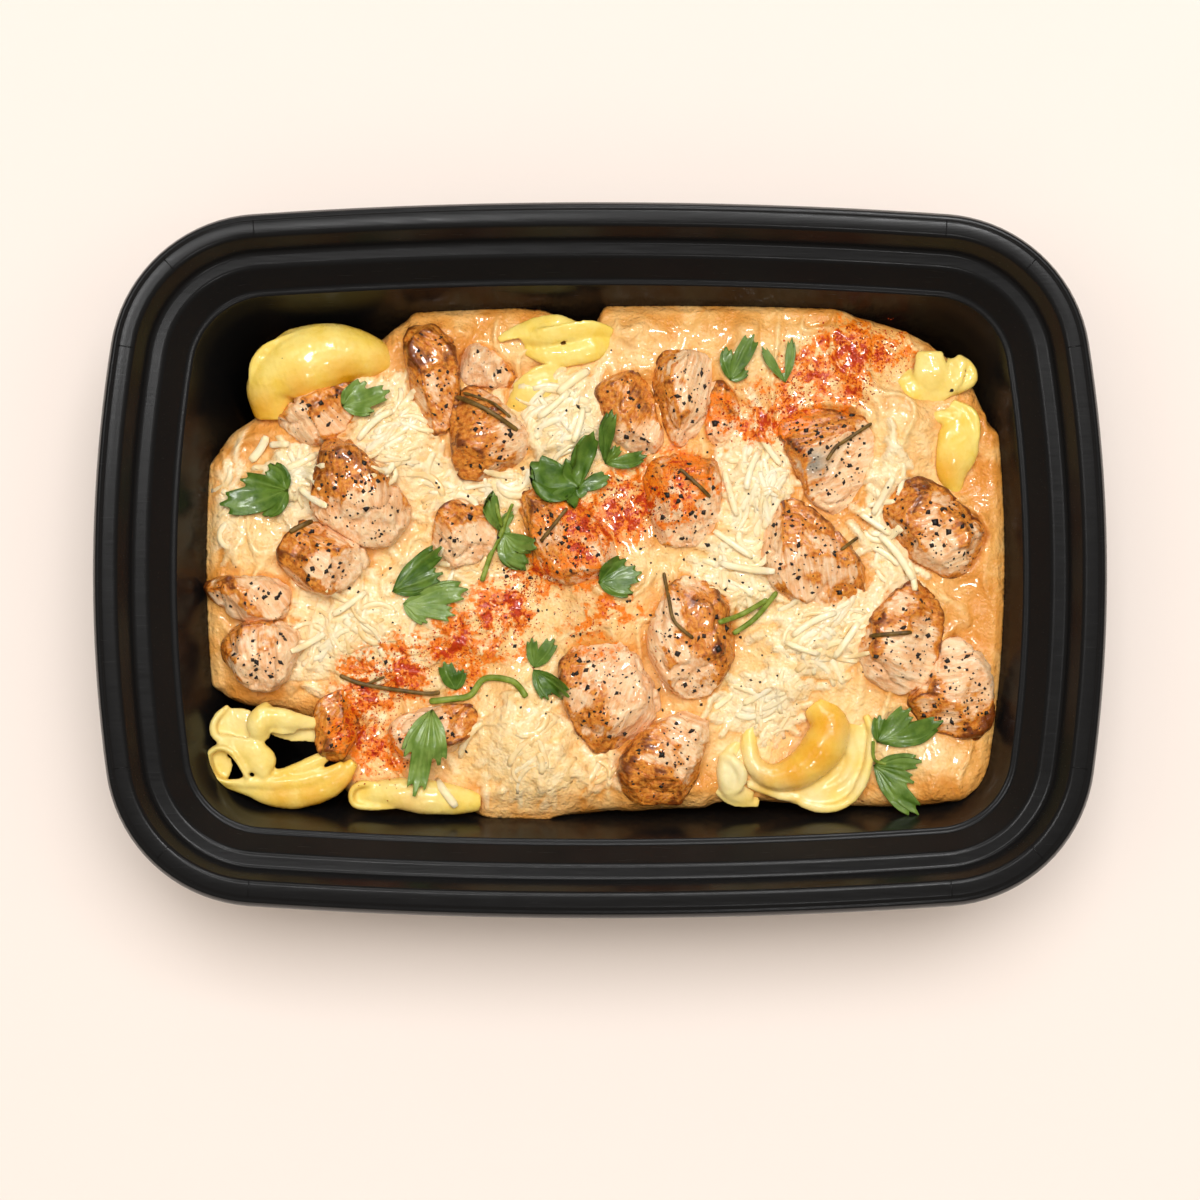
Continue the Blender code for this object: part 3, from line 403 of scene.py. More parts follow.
def grid_border(rows, columns):
    """The indices round the edge of a grid that isn't wrapped, once round."""
    border = list(range(columns))
    border += [row * columns + columns - 1 for row in range(1, rows)]
    border += [rows * columns - 1 - k for k in range(1, columns)]
    return border + [row * columns for row in range(rows - 2, 0, -1)]


def skirt_faces(above, below):
    """Quads from one closed ring of indices down to another."""
    count = len(above)
    return [(above[(k + 1) % count], above[k], below[k], below[(k + 1) % count]) for k in range(count)]


def tube(rows, sides, twist=0.0, shift=0.0):
    """A closed oval tube along rows of (x, y, z, half width, half thickness), twisted about its run."""
    centres = rows[:, :3]
    tilt = math.radians(twist)
    points = []
    for i, (*_, half_width, half_thickness) in enumerate(rows):
        run = centres[min(i + 1, len(rows) - 1)] - centres[max(i - 1, 0)]
        run /= max(np.linalg.norm(run), 1e-9)
        side = np.cross(run, (0.0, 0.0, 1.0))
        side /= max(np.linalg.norm(side), 1e-9)
        rise = np.cross(side, run)
        for k in range(sides):
            angle = 2 * math.pi * (k + shift) / sides
            aside = half_width * math.cos(angle)
            above = half_thickness * math.sin(angle)
            along_side = aside * math.cos(tilt) - above * math.sin(tilt)
            along_rise = aside * math.sin(tilt) + above * math.cos(tilt)
            points.append(centres[i] + side * along_side + rise * along_rise)
    faces = grid_faces(len(rows), sides)
    faces.append(tuple(range(sides - 1, -1, -1)))
    faces.append(tuple(range(len(points) - sides, len(points))))
    return np.array(points), faces


def ribbon(line, half_width, half_height):
    """A tube with eight sides along a line of points, its ends tapered a little."""
    taper = np.ones(len(line))
    taper[[0, -1]] = 0.7
    rows = np.column_stack([line, half_width * taper, half_height * taper])
    return tube(rows, 8, shift=0.5)


def heading_vectors(turn):
    """Unit vectors along a direction in the plane, and across it to the left."""
    return np.array([math.cos(turn), math.sin(turn)]), np.array([-math.sin(turn), math.cos(turn)])


def corner_array(faces):
    """Each face as four indices, with a triangle's last one repeated."""
    return np.array([face if len(face) == 4 else (*face, face[-1]) for face in faces])


def vertex_normals(points, faces):
    a, b, c, d = corner_array(faces).T
    cross = np.cross(points[c] - points[a], points[d] - points[b])
    normals = np.zeros_like(points)
    for axis in range(3):
        for corner in (a, b, c, d):
            normals[:, axis] += np.bincount(corner, cross[:, axis], minlength=len(points))
    return normals / np.maximum(np.linalg.norm(normals, axis=1, keepdims=True), 1e-9)


def relaxed(points, faces, rounds):
    """Moves each point towards the middle of its neighbours, some rounds."""
    a, b, c, d = corner_array(faces).T
    here = np.concatenate([a, b, c, d, b, c, d, a])
    there = np.concatenate([b, c, d, a, a, b, c, d])
    size = len(points)
    count = np.maximum(np.bincount(here, minlength=size), 1)[:, None]
    for _ in range(rounds):
        total = [np.bincount(here, points[there, axis], minlength=size) for axis in range(3)]
        points = 0.5 * points + 0.5 * np.stack(total, axis=1) / count
    return points


def add_piece(name, points, faces, material, nodes=(), values=None):
    """A smooth-shaded piece of the object, with named numbers for each point for its material."""
    mesh = bpy.data.meshes.new(name)
    mesh.from_pydata(np.asarray(points) * MM, [], [tuple(face) for face in faces])
    mesh.update()
    mesh.shade_smooth()
    for key, numbers in (values or {}).items():
        numbers = np.asarray(numbers, dtype=np.float32)
        is_vector = numbers.ndim == 2
        layer = mesh.attributes.new(key, "FLOAT_VECTOR" if is_vector else "FLOAT", "POINT")
        layer.data.foreach_set("vector" if is_vector else "value", numbers.ravel())
    mesh.materials.append(material)
    piece = bpy.data.objects.new(name, mesh)
    bpy.context.scene.collection.objects.link(piece)
    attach(piece, "root")
    if nodes:
        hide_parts(*nodes)


def joined(shells):
    """Several (points, faces) as one."""
    points = []
    faces = []
    count = 0
    for shell_points, shell_faces in shells:
        points.append(np.asarray(shell_points))
        faces.extend(tuple(index + count for index in face) for face in shell_faces)
        count += len(shell_points)
    return np.concatenate(points), faces


def remeshed(shells, voxel, rounds):
    """One even skin round closed shells that may overlap, relaxed some rounds."""
    mesh = bpy.data.meshes.new("shells")
    points, faces = joined(shells)
    mesh.from_pydata(points, [], faces)
    thing = bpy.data.objects.new("shells", mesh)
    bpy.context.scene.collection.objects.link(thing)
    skin = thing.modifiers.new("Skin", "REMESH")
    skin.mode = "VOXEL"
    skin.voxel_size = voxel
    result = thing.evaluated_get(bpy.context.evaluated_depsgraph_get()).to_mesh()
    skin_points = np.empty(len(result.vertices) * 3)
    result.vertices.foreach_get("co", skin_points)
    skin_faces = [tuple(polygon.vertices) for polygon in result.polygons]
    bpy.data.objects.remove(thing)
    bpy.data.meshes.remove(mesh)
    return relaxed(skin_points.reshape(-1, 3), skin_faces, rounds), skin_faces


def outline_of(node):
    """The convex outline of a CAD node seen from above, counterclockwise, in millimetres."""
    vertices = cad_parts[node].data.vertices
    points = sorted({(round(v.co.x / MM, 2), round(v.co.y / MM, 2)) for v in vertices})
    hull = []
    for ordered in (points, points[::-1]):
        chain = []
        for point in ordered:
            while len(chain) > 1 and turn_of(chain[-2], chain[-1], point) <= 0.0:
                chain.pop()
            chain.append(point)
        hull.extend(chain[:-1])
    return np.array(hull)


def turn_of(a, b, c):
    return (b[0] - a[0]) * (c[1] - a[1]) - (b[1] - a[1]) * (c[0] - a[0])


def outside_distance(places, outline):
    """How far places lie outside a convex counterclockwise outline, and less than zero inside it."""
    following = np.roll(outline, -1, axis=0)
    nearest = np.full(len(places), 1e9)
    inside = np.full(len(places), -1e9)
    for a, b in zip(outline, following):
        run = b - a
        length = max(np.linalg.norm(run), 1e-9)
        share = np.clip(((places - a) @ run) / length**2, 0.0, 1.0)
        nearest = np.minimum(nearest, np.linalg.norm(places - a - share[:, None] * run, axis=1))
        inside = np.maximum(inside, ((places - a) @ np.array([run[1], -run[0]])) / length)
    return np.where(inside > 0.0, nearest, inside)


def strength_at(places, spots):
    """How strong soft round spots (x, y, radius, strength) are at each place, from 0 to about 1."""
    amount = np.zeros(len(places))
    for x, y, radius, strength in spots:
        squared = (places[:, 0] - x) ** 2 + (places[:, 1] - y) ** 2
        amount = np.maximum(amount, strength * np.exp(-squared / radius**2))
    return amount


class Surfaces:
    """What toppings fall on: the upper surface of all the pieces added so far."""

    def __init__(self):
        self.trees = []

    def add(self, points, faces):
        self.trees.append(BVHTree.FromPolygons([Vector(p) for p in points], [tuple(f) for f in faces]))

    def drop(self, x, y):
        """Height and normal of the uppermost surface at a place."""
        best = None
        for tree in self.trees:
            place, normal, _, _ = tree.ray_cast(Vector((x, y, 60.0)), Vector((0.0, 0.0, -1.0)))
            if place is not None and (best is None or place.z > best[0]):
                best = (place.z, normal)
        return best or (SAUCE_LEVEL, Vector((0.0, 0.0, 1.0)))


# --- Materials ----------------------------------------------------------------------------------


class Look:
    """A material under construction: its Principled shader and the nodes that feed it."""

    def __init__(self, name):
        self.material = bpy.data.materials.new(name)
        self.material.use_nodes = True
        self.nodes = self.material.node_tree.nodes
        self.links = self.material.node_tree.links
        self.shader = self.nodes["Principled BSDF"]
        self.place = self.nodes.new("ShaderNodeTexCoord").outputs["Object"]

    def set(self, **sockets):
        for key, value in sockets.items():
            self.shader.inputs[key.replace("_", " ")].default_value = value
        return self

    def feed(self, socket, output):
        self.links.new(output, self.shader.inputs[socket])

    def stretched(self, scale):
        node = self.nodes.new("ShaderNodeMapping")
        node.inputs["Scale"].default_value = scale
        self.links.new(self.place, node.inputs["Vector"])
        return node.outputs["Vector"]

    def noise(self, size_mm, detail=3.0, place=None, distortion=0.0):
        node = self.nodes.new("ShaderNodeTexNoise")
        node.inputs["Scale"].default_value = 1000.0 / size_mm
        node.inputs["Detail"].default_value = detail
        node.inputs["Roughness"].default_value = 0.55
        node.inputs["Distortion"].default_value = distortion
        self.links.new(place or self.place, node.inputs["Vector"])
        return node.outputs["Fac"]

    def cells(self, size_mm):
        node = self.nodes.new("ShaderNodeTexVoronoi")
        node.inputs["Scale"].default_value = 1000.0 / size_mm
        self.links.new(self.place, node.inputs["Vector"])
        return node.outputs["Distance"]

    def number(self, name):
        node = self.nodes.new("ShaderNodeAttribute")
        node.attribute_name = name
        return node.outputs["Fac"]

    def vector(self, name):
        node = self.nodes.new("ShaderNodeAttribute")
        node.attribute_name = name
        return node.outputs["Vector"]

    def span(self, value, low, high, to_low=0.0, to_high=1.0):
        node = self.nodes.new("ShaderNodeMapRange")
        node.interpolation_type = "SMOOTHSTEP"
        limits = {"From Min": low, "From Max": high, "To Min": to_low, "To Max": to_high}
        for socket, limit in limits.items():
            node.inputs[socket].default_value = limit
        self.links.new(value, node.inputs["Value"])
        return node.outputs["Result"]

    def math(self, operation, first, second):
        node = self.nodes.new("ShaderNodeMath")
        node.operation = operation
        for socket, value in zip(node.inputs, (first, second)):
            if isinstance(value, (int, float)):
                socket.default_value = value
            else:
                self.links.new(value, socket)
        return node.outputs[0]

    def blend(self, share, first, second):
        """Mixes two colours, each a tuple or an output."""
        node = self.nodes.new("ShaderNodeMix")
        node.data_type = "RGBA"
        self.links.new(share, node.inputs[0])
        for socket, value in zip((node.inputs[6], node.inputs[7]), (first, second)):
            if isinstance(value, tuple):
                socket.default_value = (*value, 1.0)
            else:
                self.links.new(value, socket)
        return node.outputs[2]

    def spread(self, noise, to_low=0.0, to_high=1.0):
        """Stretches a noise pattern over a span of values."""
        return self.span(noise, NOISE_LOW, NOISE_HIGH, to_low, to_high)

    def mottled(self, noise, first, second):
        """Two colours in turn, as a noise pattern goes."""
        return self.blend(self.spread(noise), first, second)

    def sauced(self, color, size_mm, low, high, thickest, sauce):
        """Colours a surface with the sauce that clings to it, up to an uneven edge."""
        edge = self.spread(self.noise(size_mm, 3.0), -0.3, 0.3)
        coat = self.math("ADD", self.number("sauced"), edge)
        return self.blend(self.span(coat, low, high, 0.0, thickest), color, sauce)

    def dusted(self, color):
        """Colours a surface with paprika: an orange stain, and red where the powder is thick."""
        broken = self.span(self.noise(6.5, 3.0), 0.38, 0.60, 0.22, 1.25)
        patchy = self.span(self.noise(2.4, 5.0), 0.36, 0.66, 0.15, 2.0)
        grains = self.span(self.noise(0.8, 3.0), 0.34, 0.66, 0.5, 1.5)
        dusting = self.number("paprika")
        for pattern in (broken, patchy, grains):
            dusting = self.math("MULTIPLY", dusting, pattern)
        stained = self.blend(self.span(dusting, 0.03, 0.32, 0.0, 0.96), color, (0.86, 0.21, 0.007))
        return self.blend(self.span(dusting, 0.42, 1.05, 0.0, 0.95), stained, (0.50, 0.032, 0.002))

    def bumps(self, *layers):
        """Chains bump nodes, each (height output, depth in millimetres)."""
        normal = None
        for height, depth in layers:
            node = self.nodes.new("ShaderNodeBump")
            node.inputs["Distance"].default_value = depth * MM
            self.links.new(height, node.inputs["Height"])
            if normal is not None:
                self.links.new(normal, node.inputs["Normal"])
            normal = node.outputs["Normal"]
        self.feed("Normal", normal)


def tray_look():
    look = Look("black_plastic").set(Specular_IOR_Level=0.12)
    satin_and_painted_sheen = look.number("satin_and_painted_sheen")
    streaks = look.noise(0.5, 4.0, place=look.stretched((0.06, 1.0, 1.0)))
    grain = look.noise(0.35, 2.0)
    # Painted sheen: ledges, flange top and mould lines get a lighter base colour standing in for their grey
    # reflection of the light above. Their satin finish is the rougher surface set below.
    look.feed("Base Color", look.blend(satin_and_painted_sheen, (0.0016, 0.0015, 0.0014), (0.0085, 0.0085, 0.0088)))
    scuffed = look.span(streaks, 0.3, 0.75, 0.0, 0.08)
    look.feed("Roughness", look.math("ADD", scuffed, look.span(satin_and_painted_sheen, 0.0, 1.0, 0.12, 0.20)))
    look.bumps((streaks, 0.010), (grain, 0.005))
    return look.material


def sauce_look():
    look = Look("cream_sauce").set(
        Specular_IOR_Level=0.2, Subsurface_Weight=0.08, Subsurface_Radius=(0.002, 0.001, 0.0005),
        Subsurface_Scale=0.5, Coat_Weight=0.6, Coat_Roughness=0.04,
    )
    cloud = look.noise(11.0, 3.0, distortion=0.6)
    curd = look.noise(2.2, 2.0)
    tan = look.mottled(cloud, (0.72, 0.285, 0.046), (0.88, 0.47, 0.135))
    cream_and_painted_light = look.mottled(curd, (0.92, 0.60, 0.24), (0.95, 0.70, 0.35))
    # The tone carries the sauce's creaminess together with painted light and shade: it rises on crests and
    # falls in hollows and round the chunks' bases.
    tone = look.math("ADD", look.number("cream_and_painted_light"), look.spread(cloud, -0.16, 0.16))
    # Painted shade: where the tone falls below zero, the tan deepens to a dark brown.
    tan = look.blend(look.span(tone, -0.55, 0.0), (0.50, 0.165, 0.026), tan)
    color = look.blend(look.span(tone, 0.05, 0.80), tan, cream_and_painted_light)
    shreds = look.mottled(curd, (0.92, 0.70, 0.38), (0.95, 0.80, 0.52))
    color = look.dusted(look.blend(look.number("cheese"), color, shreds))
    look.feed("Base Color", color)
    look.feed("Roughness", look.span(curd, 0.3, 0.8, 0.14, 0.30))
    look.bumps((look.noise(3.2, 1.0), 0.65), (look.noise(1.4, 1.0), 0.48), (look.noise(0.6, 1.0), 0.24))
    return look.material


def pasta_look():
    look = Look("egg_pasta").set(
        Specular_IOR_Level=0.25, Subsurface_Weight=0.12, Subsurface_Radius=(0.003, 0.002, 0.0006),
        Subsurface_Scale=0.5, Coat_Weight=0.5, Coat_Roughness=0.06,
    )
    cloud = look.noise(6.0, 3.0)
    pale = look.mottled(cloud, (0.86, 0.60, 0.085), (0.92, 0.72, 0.20))
    # Deep yolk yellow where the dough is golden, and painted shade on its steep sides.
    color = look.blend(look.number("golden_and_painted_shade"), pale, (0.78, 0.36, 0.010))
    color = look.blend(look.number("creamy"), color, (0.84, 0.74, 0.40))
    color = look.sauced(color, 3.0, 0.35, 0.85, 1.0, (0.84, 0.55, 0.22))
    look.feed("Base Color", color)
    look.feed("Roughness", look.spread(look.noise(1.2, 3.0), 0.22, 0.38))
    look.bumps((look.noise(2.2, 2.0), 0.16), (look.noise(0.6, 1.0), 0.03))
    return look.material


def chicken_look():
    look = Look("roast_chicken").set(
        Specular_IOR_Level=0.2, Subsurface_Weight=0.05, Subsurface_Radius=(0.002, 0.0008, 0.0004),
        Subsurface_Scale=0.5, Coat_Weight=0.5, Coat_Roughness=0.05,
    )
    cloud = look.noise(3.5, 4.0, distortion=0.5)
    fine = look.noise(0.9, 4.0)
    fibres = look.noise(0.9, 3.0, place=look.vector("fibre_place"))
    flesh = look.mottled(cloud, (0.82, 0.42, 0.185), (0.93, 0.65, 0.37))
    flesh = look.blend(look.span(fibres, 0.45, 0.70, 0.0, 0.55), flesh, (0.97, 0.79, 0.56))
    flesh = look.blend(look.span(fibres, 0.42, 0.30, 0.0, 0.45), flesh, (0.62, 0.24, 0.070))
    flesh = look.blend(look.number("skin"), flesh, (0.30, 0.27, 0.21))
    # The sear carries real browning and char, and painted shade near the sauce line.
    sear_and_painted_shade = look.math("ADD", look.number("sear_and_painted_shade"), look.span(cloud, 0.25, 0.75, -0.30, 0.30))
    sear_and_painted_shade = look.math("ADD", sear_and_painted_shade, look.spread(fibres, 0.16, -0.16))
    brown = look.mottled(fine, (0.50, 0.118, 0.006), (0.80, 0.31, 0.036))
    color = look.blend(look.span(sear_and_painted_shade, -0.24, 0.30, 0.0, 0.97), flesh, brown)
    # Near-black where the sear is highest: the burnt corner, and painted shade at the chunks' bases by the
    # sauce.
    color = look.blend(look.span(sear_and_painted_shade, 0.42, 0.95, 0.0, 0.92), color, (0.13, 0.024, 0.003))
    color = look.dusted(color)
    specks = look.span(look.cells(1.5), 0.11, 0.17, 1.0, 0.0)
    specks = look.math("MULTIPLY", specks, look.span(look.noise(2.6, 2.0), 0.42, 0.58))
    color = look.blend(look.math("MULTIPLY", specks, 0.9), color, (0.014, 0.007, 0.004))
    color = look.sauced(color, 2.5, 0.4, 0.9, 0.8, (0.62, 0.29, 0.075))
    look.feed("Base Color", color)
    look.feed("Roughness", look.spread(fine, 0.22, 0.45))
    look.bumps((cloud, 0.45), (fibres, 0.36), (fine, 0.26))
    return look.material


def cheese_look():
    look = Look("shredded_cheese").set(
        Specular_IOR_Level=0.22, Roughness=0.28, Subsurface_Weight=0.15, Subsurface_Scale=0.5,
        Subsurface_Radius=(0.002, 0.0015, 0.0008), Coat_Weight=0.45, Coat_Roughness=0.06,
    )
    cloud = look.noise(5.0, 3.0)
    color = look.mottled(cloud, (0.92, 0.75, 0.42), (0.95, 0.85, 0.60))
    color = look.sauced(color, 4.0, 0.1, 0.95, 1.0, (0.86, 0.58, 0.25))
    look.feed("Base Color", look.dusted(color))
    look.bumps((look.noise(1.6, 2.0), 0.16), (look.noise(0.6, 1.0), 0.04))
    return look.material


def leaf_look():
    look = Look("parsley_leaf")
    look.set(Specular_IOR_Level=0.3, Roughness=0.32, Coat_Weight=0.2, Coat_Roughness=0.1)
    cloud = look.noise(3.0, 3.0)
    deep = look.mottled(cloud, (0.038, 0.100, 0.006), (0.100, 0.190, 0.018))
    light = look.mottled(cloud, (0.15, 0.26, 0.040), (0.26, 0.37, 0.085))
    color = look.blend(look.number("pale"), deep, light)
    color = look.blend(look.math("MULTIPLY", look.number("vein"), 0.5), color, (0.22, 0.33, 0.07))
    look.feed("Base Color", color)
    look.bumps((look.noise(0.6, 3.0), 0.08))
    return look.material


def stem_look():
    look = Look("herb_stem").set(Specular_IOR_Level=0.22, Roughness=0.42)
    cloud = look.noise(2.0, 3.0)
    fresh = look.mottled(cloud, (0.13, 0.20, 0.012), (0.26, 0.33, 0.05))
    dry = look.mottled(cloud, (0.075, 0.040, 0.007), (0.20, 0.115, 0.022))
    look.feed("Base Color", look.blend(look.number("fresh"), dry, fresh))
    look.bumps((look.noise(0.5, 3.0), 0.08))
    return look.material


def pepper_look():
    look = Look("cracked_pepper").set(Specular_IOR_Level=0.4, Roughness=0.55)
    cloud = look.noise(0.6, 3.0)
    dark, light = (0.006, 0.005, 0.004), (0.035, 0.022, 0.013)
    look.feed("Base Color", look.blend(look.span(cloud, 0.4, 0.75), dark, light))
    look.bumps((cloud, 0.1))
    return look.material


def paprika_look():
    look = Look("paprika_grains").set(Specular_IOR_Level=0.1, Roughness=0.7)
    cloud = look.noise(1.5, 2.0)
    dark, light = (0.30, 0.012, 0.002), (0.66, 0.075, 0.006)
    look.feed("Base Color", look.blend(look.span(cloud, 0.35, 0.65), dark, light))
    look.bumps((cloud, 0.05))
    return look.material


def floor_look():
    look = Look("pale_floor").set(Specular_IOR_Level=0.2, Roughness=0.7)
    look.feed("Base Color", look.blend(look.noise(40.0, 3.0), (0.865, 0.785, 0.735), (0.875, 0.795, 0.745)))
    return look.material


# --- The tray -----------------------------------------------------------------------------------

SHORT_STEPS, CORNER_STEPS, LONG_STEPS = 10, 18, 16


def corner_centre():
    """Centre of the first corner's arc, where it is tangent to both side arcs."""
    long_reach = LONG_SIDE_RADIUS - CORNER_RADIUS
    short_reach = SHORT_SIDE_RADIUS - CORNER_RADIUS
    toward = LONG_SIDE_CENTRE - SHORT_SIDE_CENTRE
    span = np.linalg.norm(toward)
    toward /= span
    along = (short_reach**2 - long_reach**2 + span**2) / (2 * span)
    aside = math.sqrt(short_reach**2 - along**2)
    return SHORT_SIDE_CENTRE + toward * along + np.array([-toward[1], toward[0]]) * aside


CORNER_CENTRE = corner_centre()
CORNER_START = math.atan2(*(CORNER_CENTRE - SHORT_SIDE_CENTRE)[::-1])
CORNER_END = math.atan2(*(CORNER_CENTRE - LONG_SIDE_CENTRE)[::-1])


def outline_quarter():
    """(arc centre, radius, direction) of each outline point, from +X round to +Y."""
    arcs = [
        (SHORT_SIDE_CENTRE, SHORT_SIDE_RADIUS, 0.0, CORNER_START, SHORT_STEPS),
        (CORNER_CENTRE, CORNER_RADIUS, CORNER_START, CORNER_END, CORNER_STEPS),
        (LONG_SIDE_CENTRE, LONG_SIDE_RADIUS, CORNER_END, math.pi / 2, LONG_STEPS),
    ]
    return [
        (centre, radius, low + (high - low) * step / steps)
        for centre, radius, low, high, steps in arcs
        for step in range(steps)
    ]


def tray_ring(inset):
    """The tray's outline moved in by inset, counterclockwise, as x and y."""
    quarter = [
        (centre[0] + (radius - inset) * math.cos(turn), centre[1] + (radius - inset) * math.sin(turn))
        for centre, radius, turn in outline_quarter()
    ]
    half = quarter + [(0.0, TRAY_WIDTH / 2 - inset)] + [(-x, y) for x, y in reversed(quarter[1:])]
    return np.array(half + [(-x, -y) for x, y in half])


def wall_inset(height):
    slope = (FILLET_INSET - STEP_INSET) / (STEP_HEIGHT - FILLET_HEIGHT)
    return STEP_INSET + (STEP_HEIGHT - height) * slope


def rounded_profile(corners):
    """Replaces each corner (inset, height, rounding) with a short curve."""
    points = [np.array(corners[0][:2])]
    for before, here, after in zip(corners, corners[1:], corners[2:]):
        place = np.array(here[:2])
        back = np.array(before[:2]) - place
        forth = np.array(after[:2]) - place
        reach = min(here[2], 0.45 * np.linalg.norm(back), 0.45 * np.linalg.norm(forth))
        first = place + back / np.linalg.norm(back) * reach
        last = place + forth / np.linalg.norm(forth) * reach
        for t in (0.0, 0.33, 0.67, 1.0):
            points.append((1 - t) ** 2 * first + 2 * t * (1 - t) * place + t**2 * last)
    points.append(np.array(corners[-1][:2]))
    return points


def add_tray(material):
    edge = EDGE_ROUNDING
    corners = [  # inset, height, rounding
        (FILLET_INSET + 6.0, FLOOR, 0.0),
        (FILLET_INSET + 1.0, FLOOR, 4.0),
        (STEP_INSET, STEP_HEIGHT, edge),
        (15.2, STEP_HEIGHT, edge),
        (11.3, LEDGE_HEIGHT, edge * 1.6),
        (8.1, LEDGE_HEIGHT, edge * 1.6),
        (5.8, TRAY_HEIGHT, edge * 1.8),
        (2.6, TRAY_HEIGHT, edge),
        (2.1, TRAY_HEIGHT - 0.45, edge),
        (1.3, TRAY_HEIGHT - 0.45, 0.8),
        (0.3, TRAY_HEIGHT - 2.6, 0.9),
        (0.0, SKIRT_HEIGHT, 0.25),
        (WALL, SKIRT_HEIGHT, 0.25),
        (1.6, TRAY_HEIGHT - 2.7, 0.6),
        (2.6, TRAY_HEIGHT - 1.2, 0.6),
        (5.0, TRAY_HEIGHT - 1.2, 0.5),
        (7.2, LEDGE_HEIGHT - WALL, edge),
        (10.5, LEDGE_HEIGHT - WALL, edge),
        (14.5, STEP_HEIGHT - WALL, edge),
        (STEP_INSET - WALL, STEP_HEIGHT - WALL, edge),
        (FILLET_INSET + 0.2, 0.0, 4.5),
        (FILLET_INSET + 6.0, 0.0, 0.0),
    ]
    rings = []
    for inset, height in rounded_profile(corners):
        ring = tray_ring(inset)
        rings.append(np.column_stack([ring, np.full(len(ring), height)]))
    columns = len(rings[0])
    points = np.concatenate(rings)
    faces = [face[::-1] for face in grid_faces(len(rings), columns)]
    faces.append(tuple(range(columns)))
    faces.append(tuple(range(len(points) - 1, len(points) - 1 - columns, -1)))
    on_ledge = (points[:, 2] > LEDGE_HEIGHT - 0.8) | (abs(points[:, 2] - STEP_HEIGHT) < 0.6)
    all_points, all_faces = joined([(points, faces), *mould_lines()])
    # Satin finish and painted sheen: 1 on the ledges, the flange top and the mould lines, which get a
    # rougher surface and a lighter base colour.
    satin_and_painted_sheen = np.concatenate([on_ledge.astype(float), np.ones(len(all_points) - len(points))])
    add_piece("meal_tray", all_points, all_faces, material, ["tray"], {"satin_and_painted_sheen": satin_and_painted_sheen})


def mould_lines():
    """Fine raised lines across the flange, three at each corner."""
    crest = TRAY_HEIGHT + 0.03
    lines = []
    for turn in (CORNER_START - 0.02, (CORNER_START + CORNER_END) / 2, CORNER_END + 0.01):
        outward, across = heading_vectors(turn)
        for mirror in itertools.product((1, -1), repeat=2):
            bar = []
            for inset, height in ((2.3, crest), (5.6, crest), (5.9, TRAY_HEIGHT - 0.9)):
                place = CORNER_CENTRE + outward * (CORNER_RADIUS - inset)
                for side in (-1, 1):
                    for drop in (0.0, 0.25):
                        x, y = (place + across * side * MOULD_LINE_WIDTH / 2) * mirror
                        bar.append((x, y, height - drop))
            faces = [(0, 2, 3, 1), (8, 9, 11, 10)]
            for k in (0, 4):
                faces += [(k, k + 4, k + 6, k + 2), (k + 1, k + 3, k + 7, k + 5)]
                faces += [(k, k + 1, k + 5, k + 4), (k + 2, k + 6, k + 7, k + 3)]
            if mirror[0] * mirror[1] > 0:
                faces = [face[::-1] for face in faces]
            lines.append((np.array(bar), faces))
    return lines


# --- The sauce ----------------------------------------------------------------------------------


def level_at(places):
    """Height of the calm sauce."""
    return SAUCE_LEVEL + SAUCE_TILT[0] * places[:, 0] + SAUCE_TILT[1] * places[:, 1]


def reach_at(turns, ring):
    """Distance from the middle to a closed ring of points, in each direction."""
    directions = np.arctan2(ring[:, 1], ring[:, 0])
    order = np.argsort(directions)
    return np.interp(turns, directions[order], np.hypot(*ring.T)[order], period=2 * math.pi)


def wall_reach(turns, gap):
    """Distance from the middle to the inner wall less a gap, at the two gauge heights."""
    return [reach_at(turns, tray_ring(wall_inset(height) + gap)) for height in WALL_GAUGES]


def held_inside(points):
    """Moves what reaches past the tray's wall back to just inside it."""
    distance = np.hypot(points[:, 0], points[:, 1])
    low, high = wall_reach(np.arctan2(points[:, 1], points[:, 0]), 0.1)
    bottom, top = WALL_GAUGES
    limit = low + (high - low) * (points[:, 2] - bottom) / (top - bottom)
    share = np.minimum(limit / np.maximum(distance, 1.0), 1.0)
    return points * np.column_stack([share, share, np.ones(len(points))])


def cheese_near(places):
    """How much cheese has melted into the sauce, and the height of its strands, at each place."""
    amount = np.zeros(len(places))
    strands = np.zeros(len(places))
    for index, (x, y, wide, deep, _, heading, whiteness) in enumerate(CHEESE):
        off = places[:, :2] - (x, y)
        share = np.exp(-((off[:, 0] / (wide + 3.0)) ** 2 + (off[:, 1] / (deep + 3.0)) ** 2))
        along, across = (off @ vector for vector in heading_vectors(math.radians(heading)))
        swirl = lattice_noise(places, 8.0, 400 + index)
        bent = np.column_stack([along / 5.0, (across + 2.2 * swirl) / 1.5, np.zeros(len(places))])
        ridges = 1.0 - np.abs(lattice_noise(bent, 1.0, 430 + index))
        strands = np.maximum(strands, share * smoothstep(0.62, 0.98, ridges))
        amount = np.maximum(amount, share * (0.35 + 0.65 * whiteness))
    return amount, strands


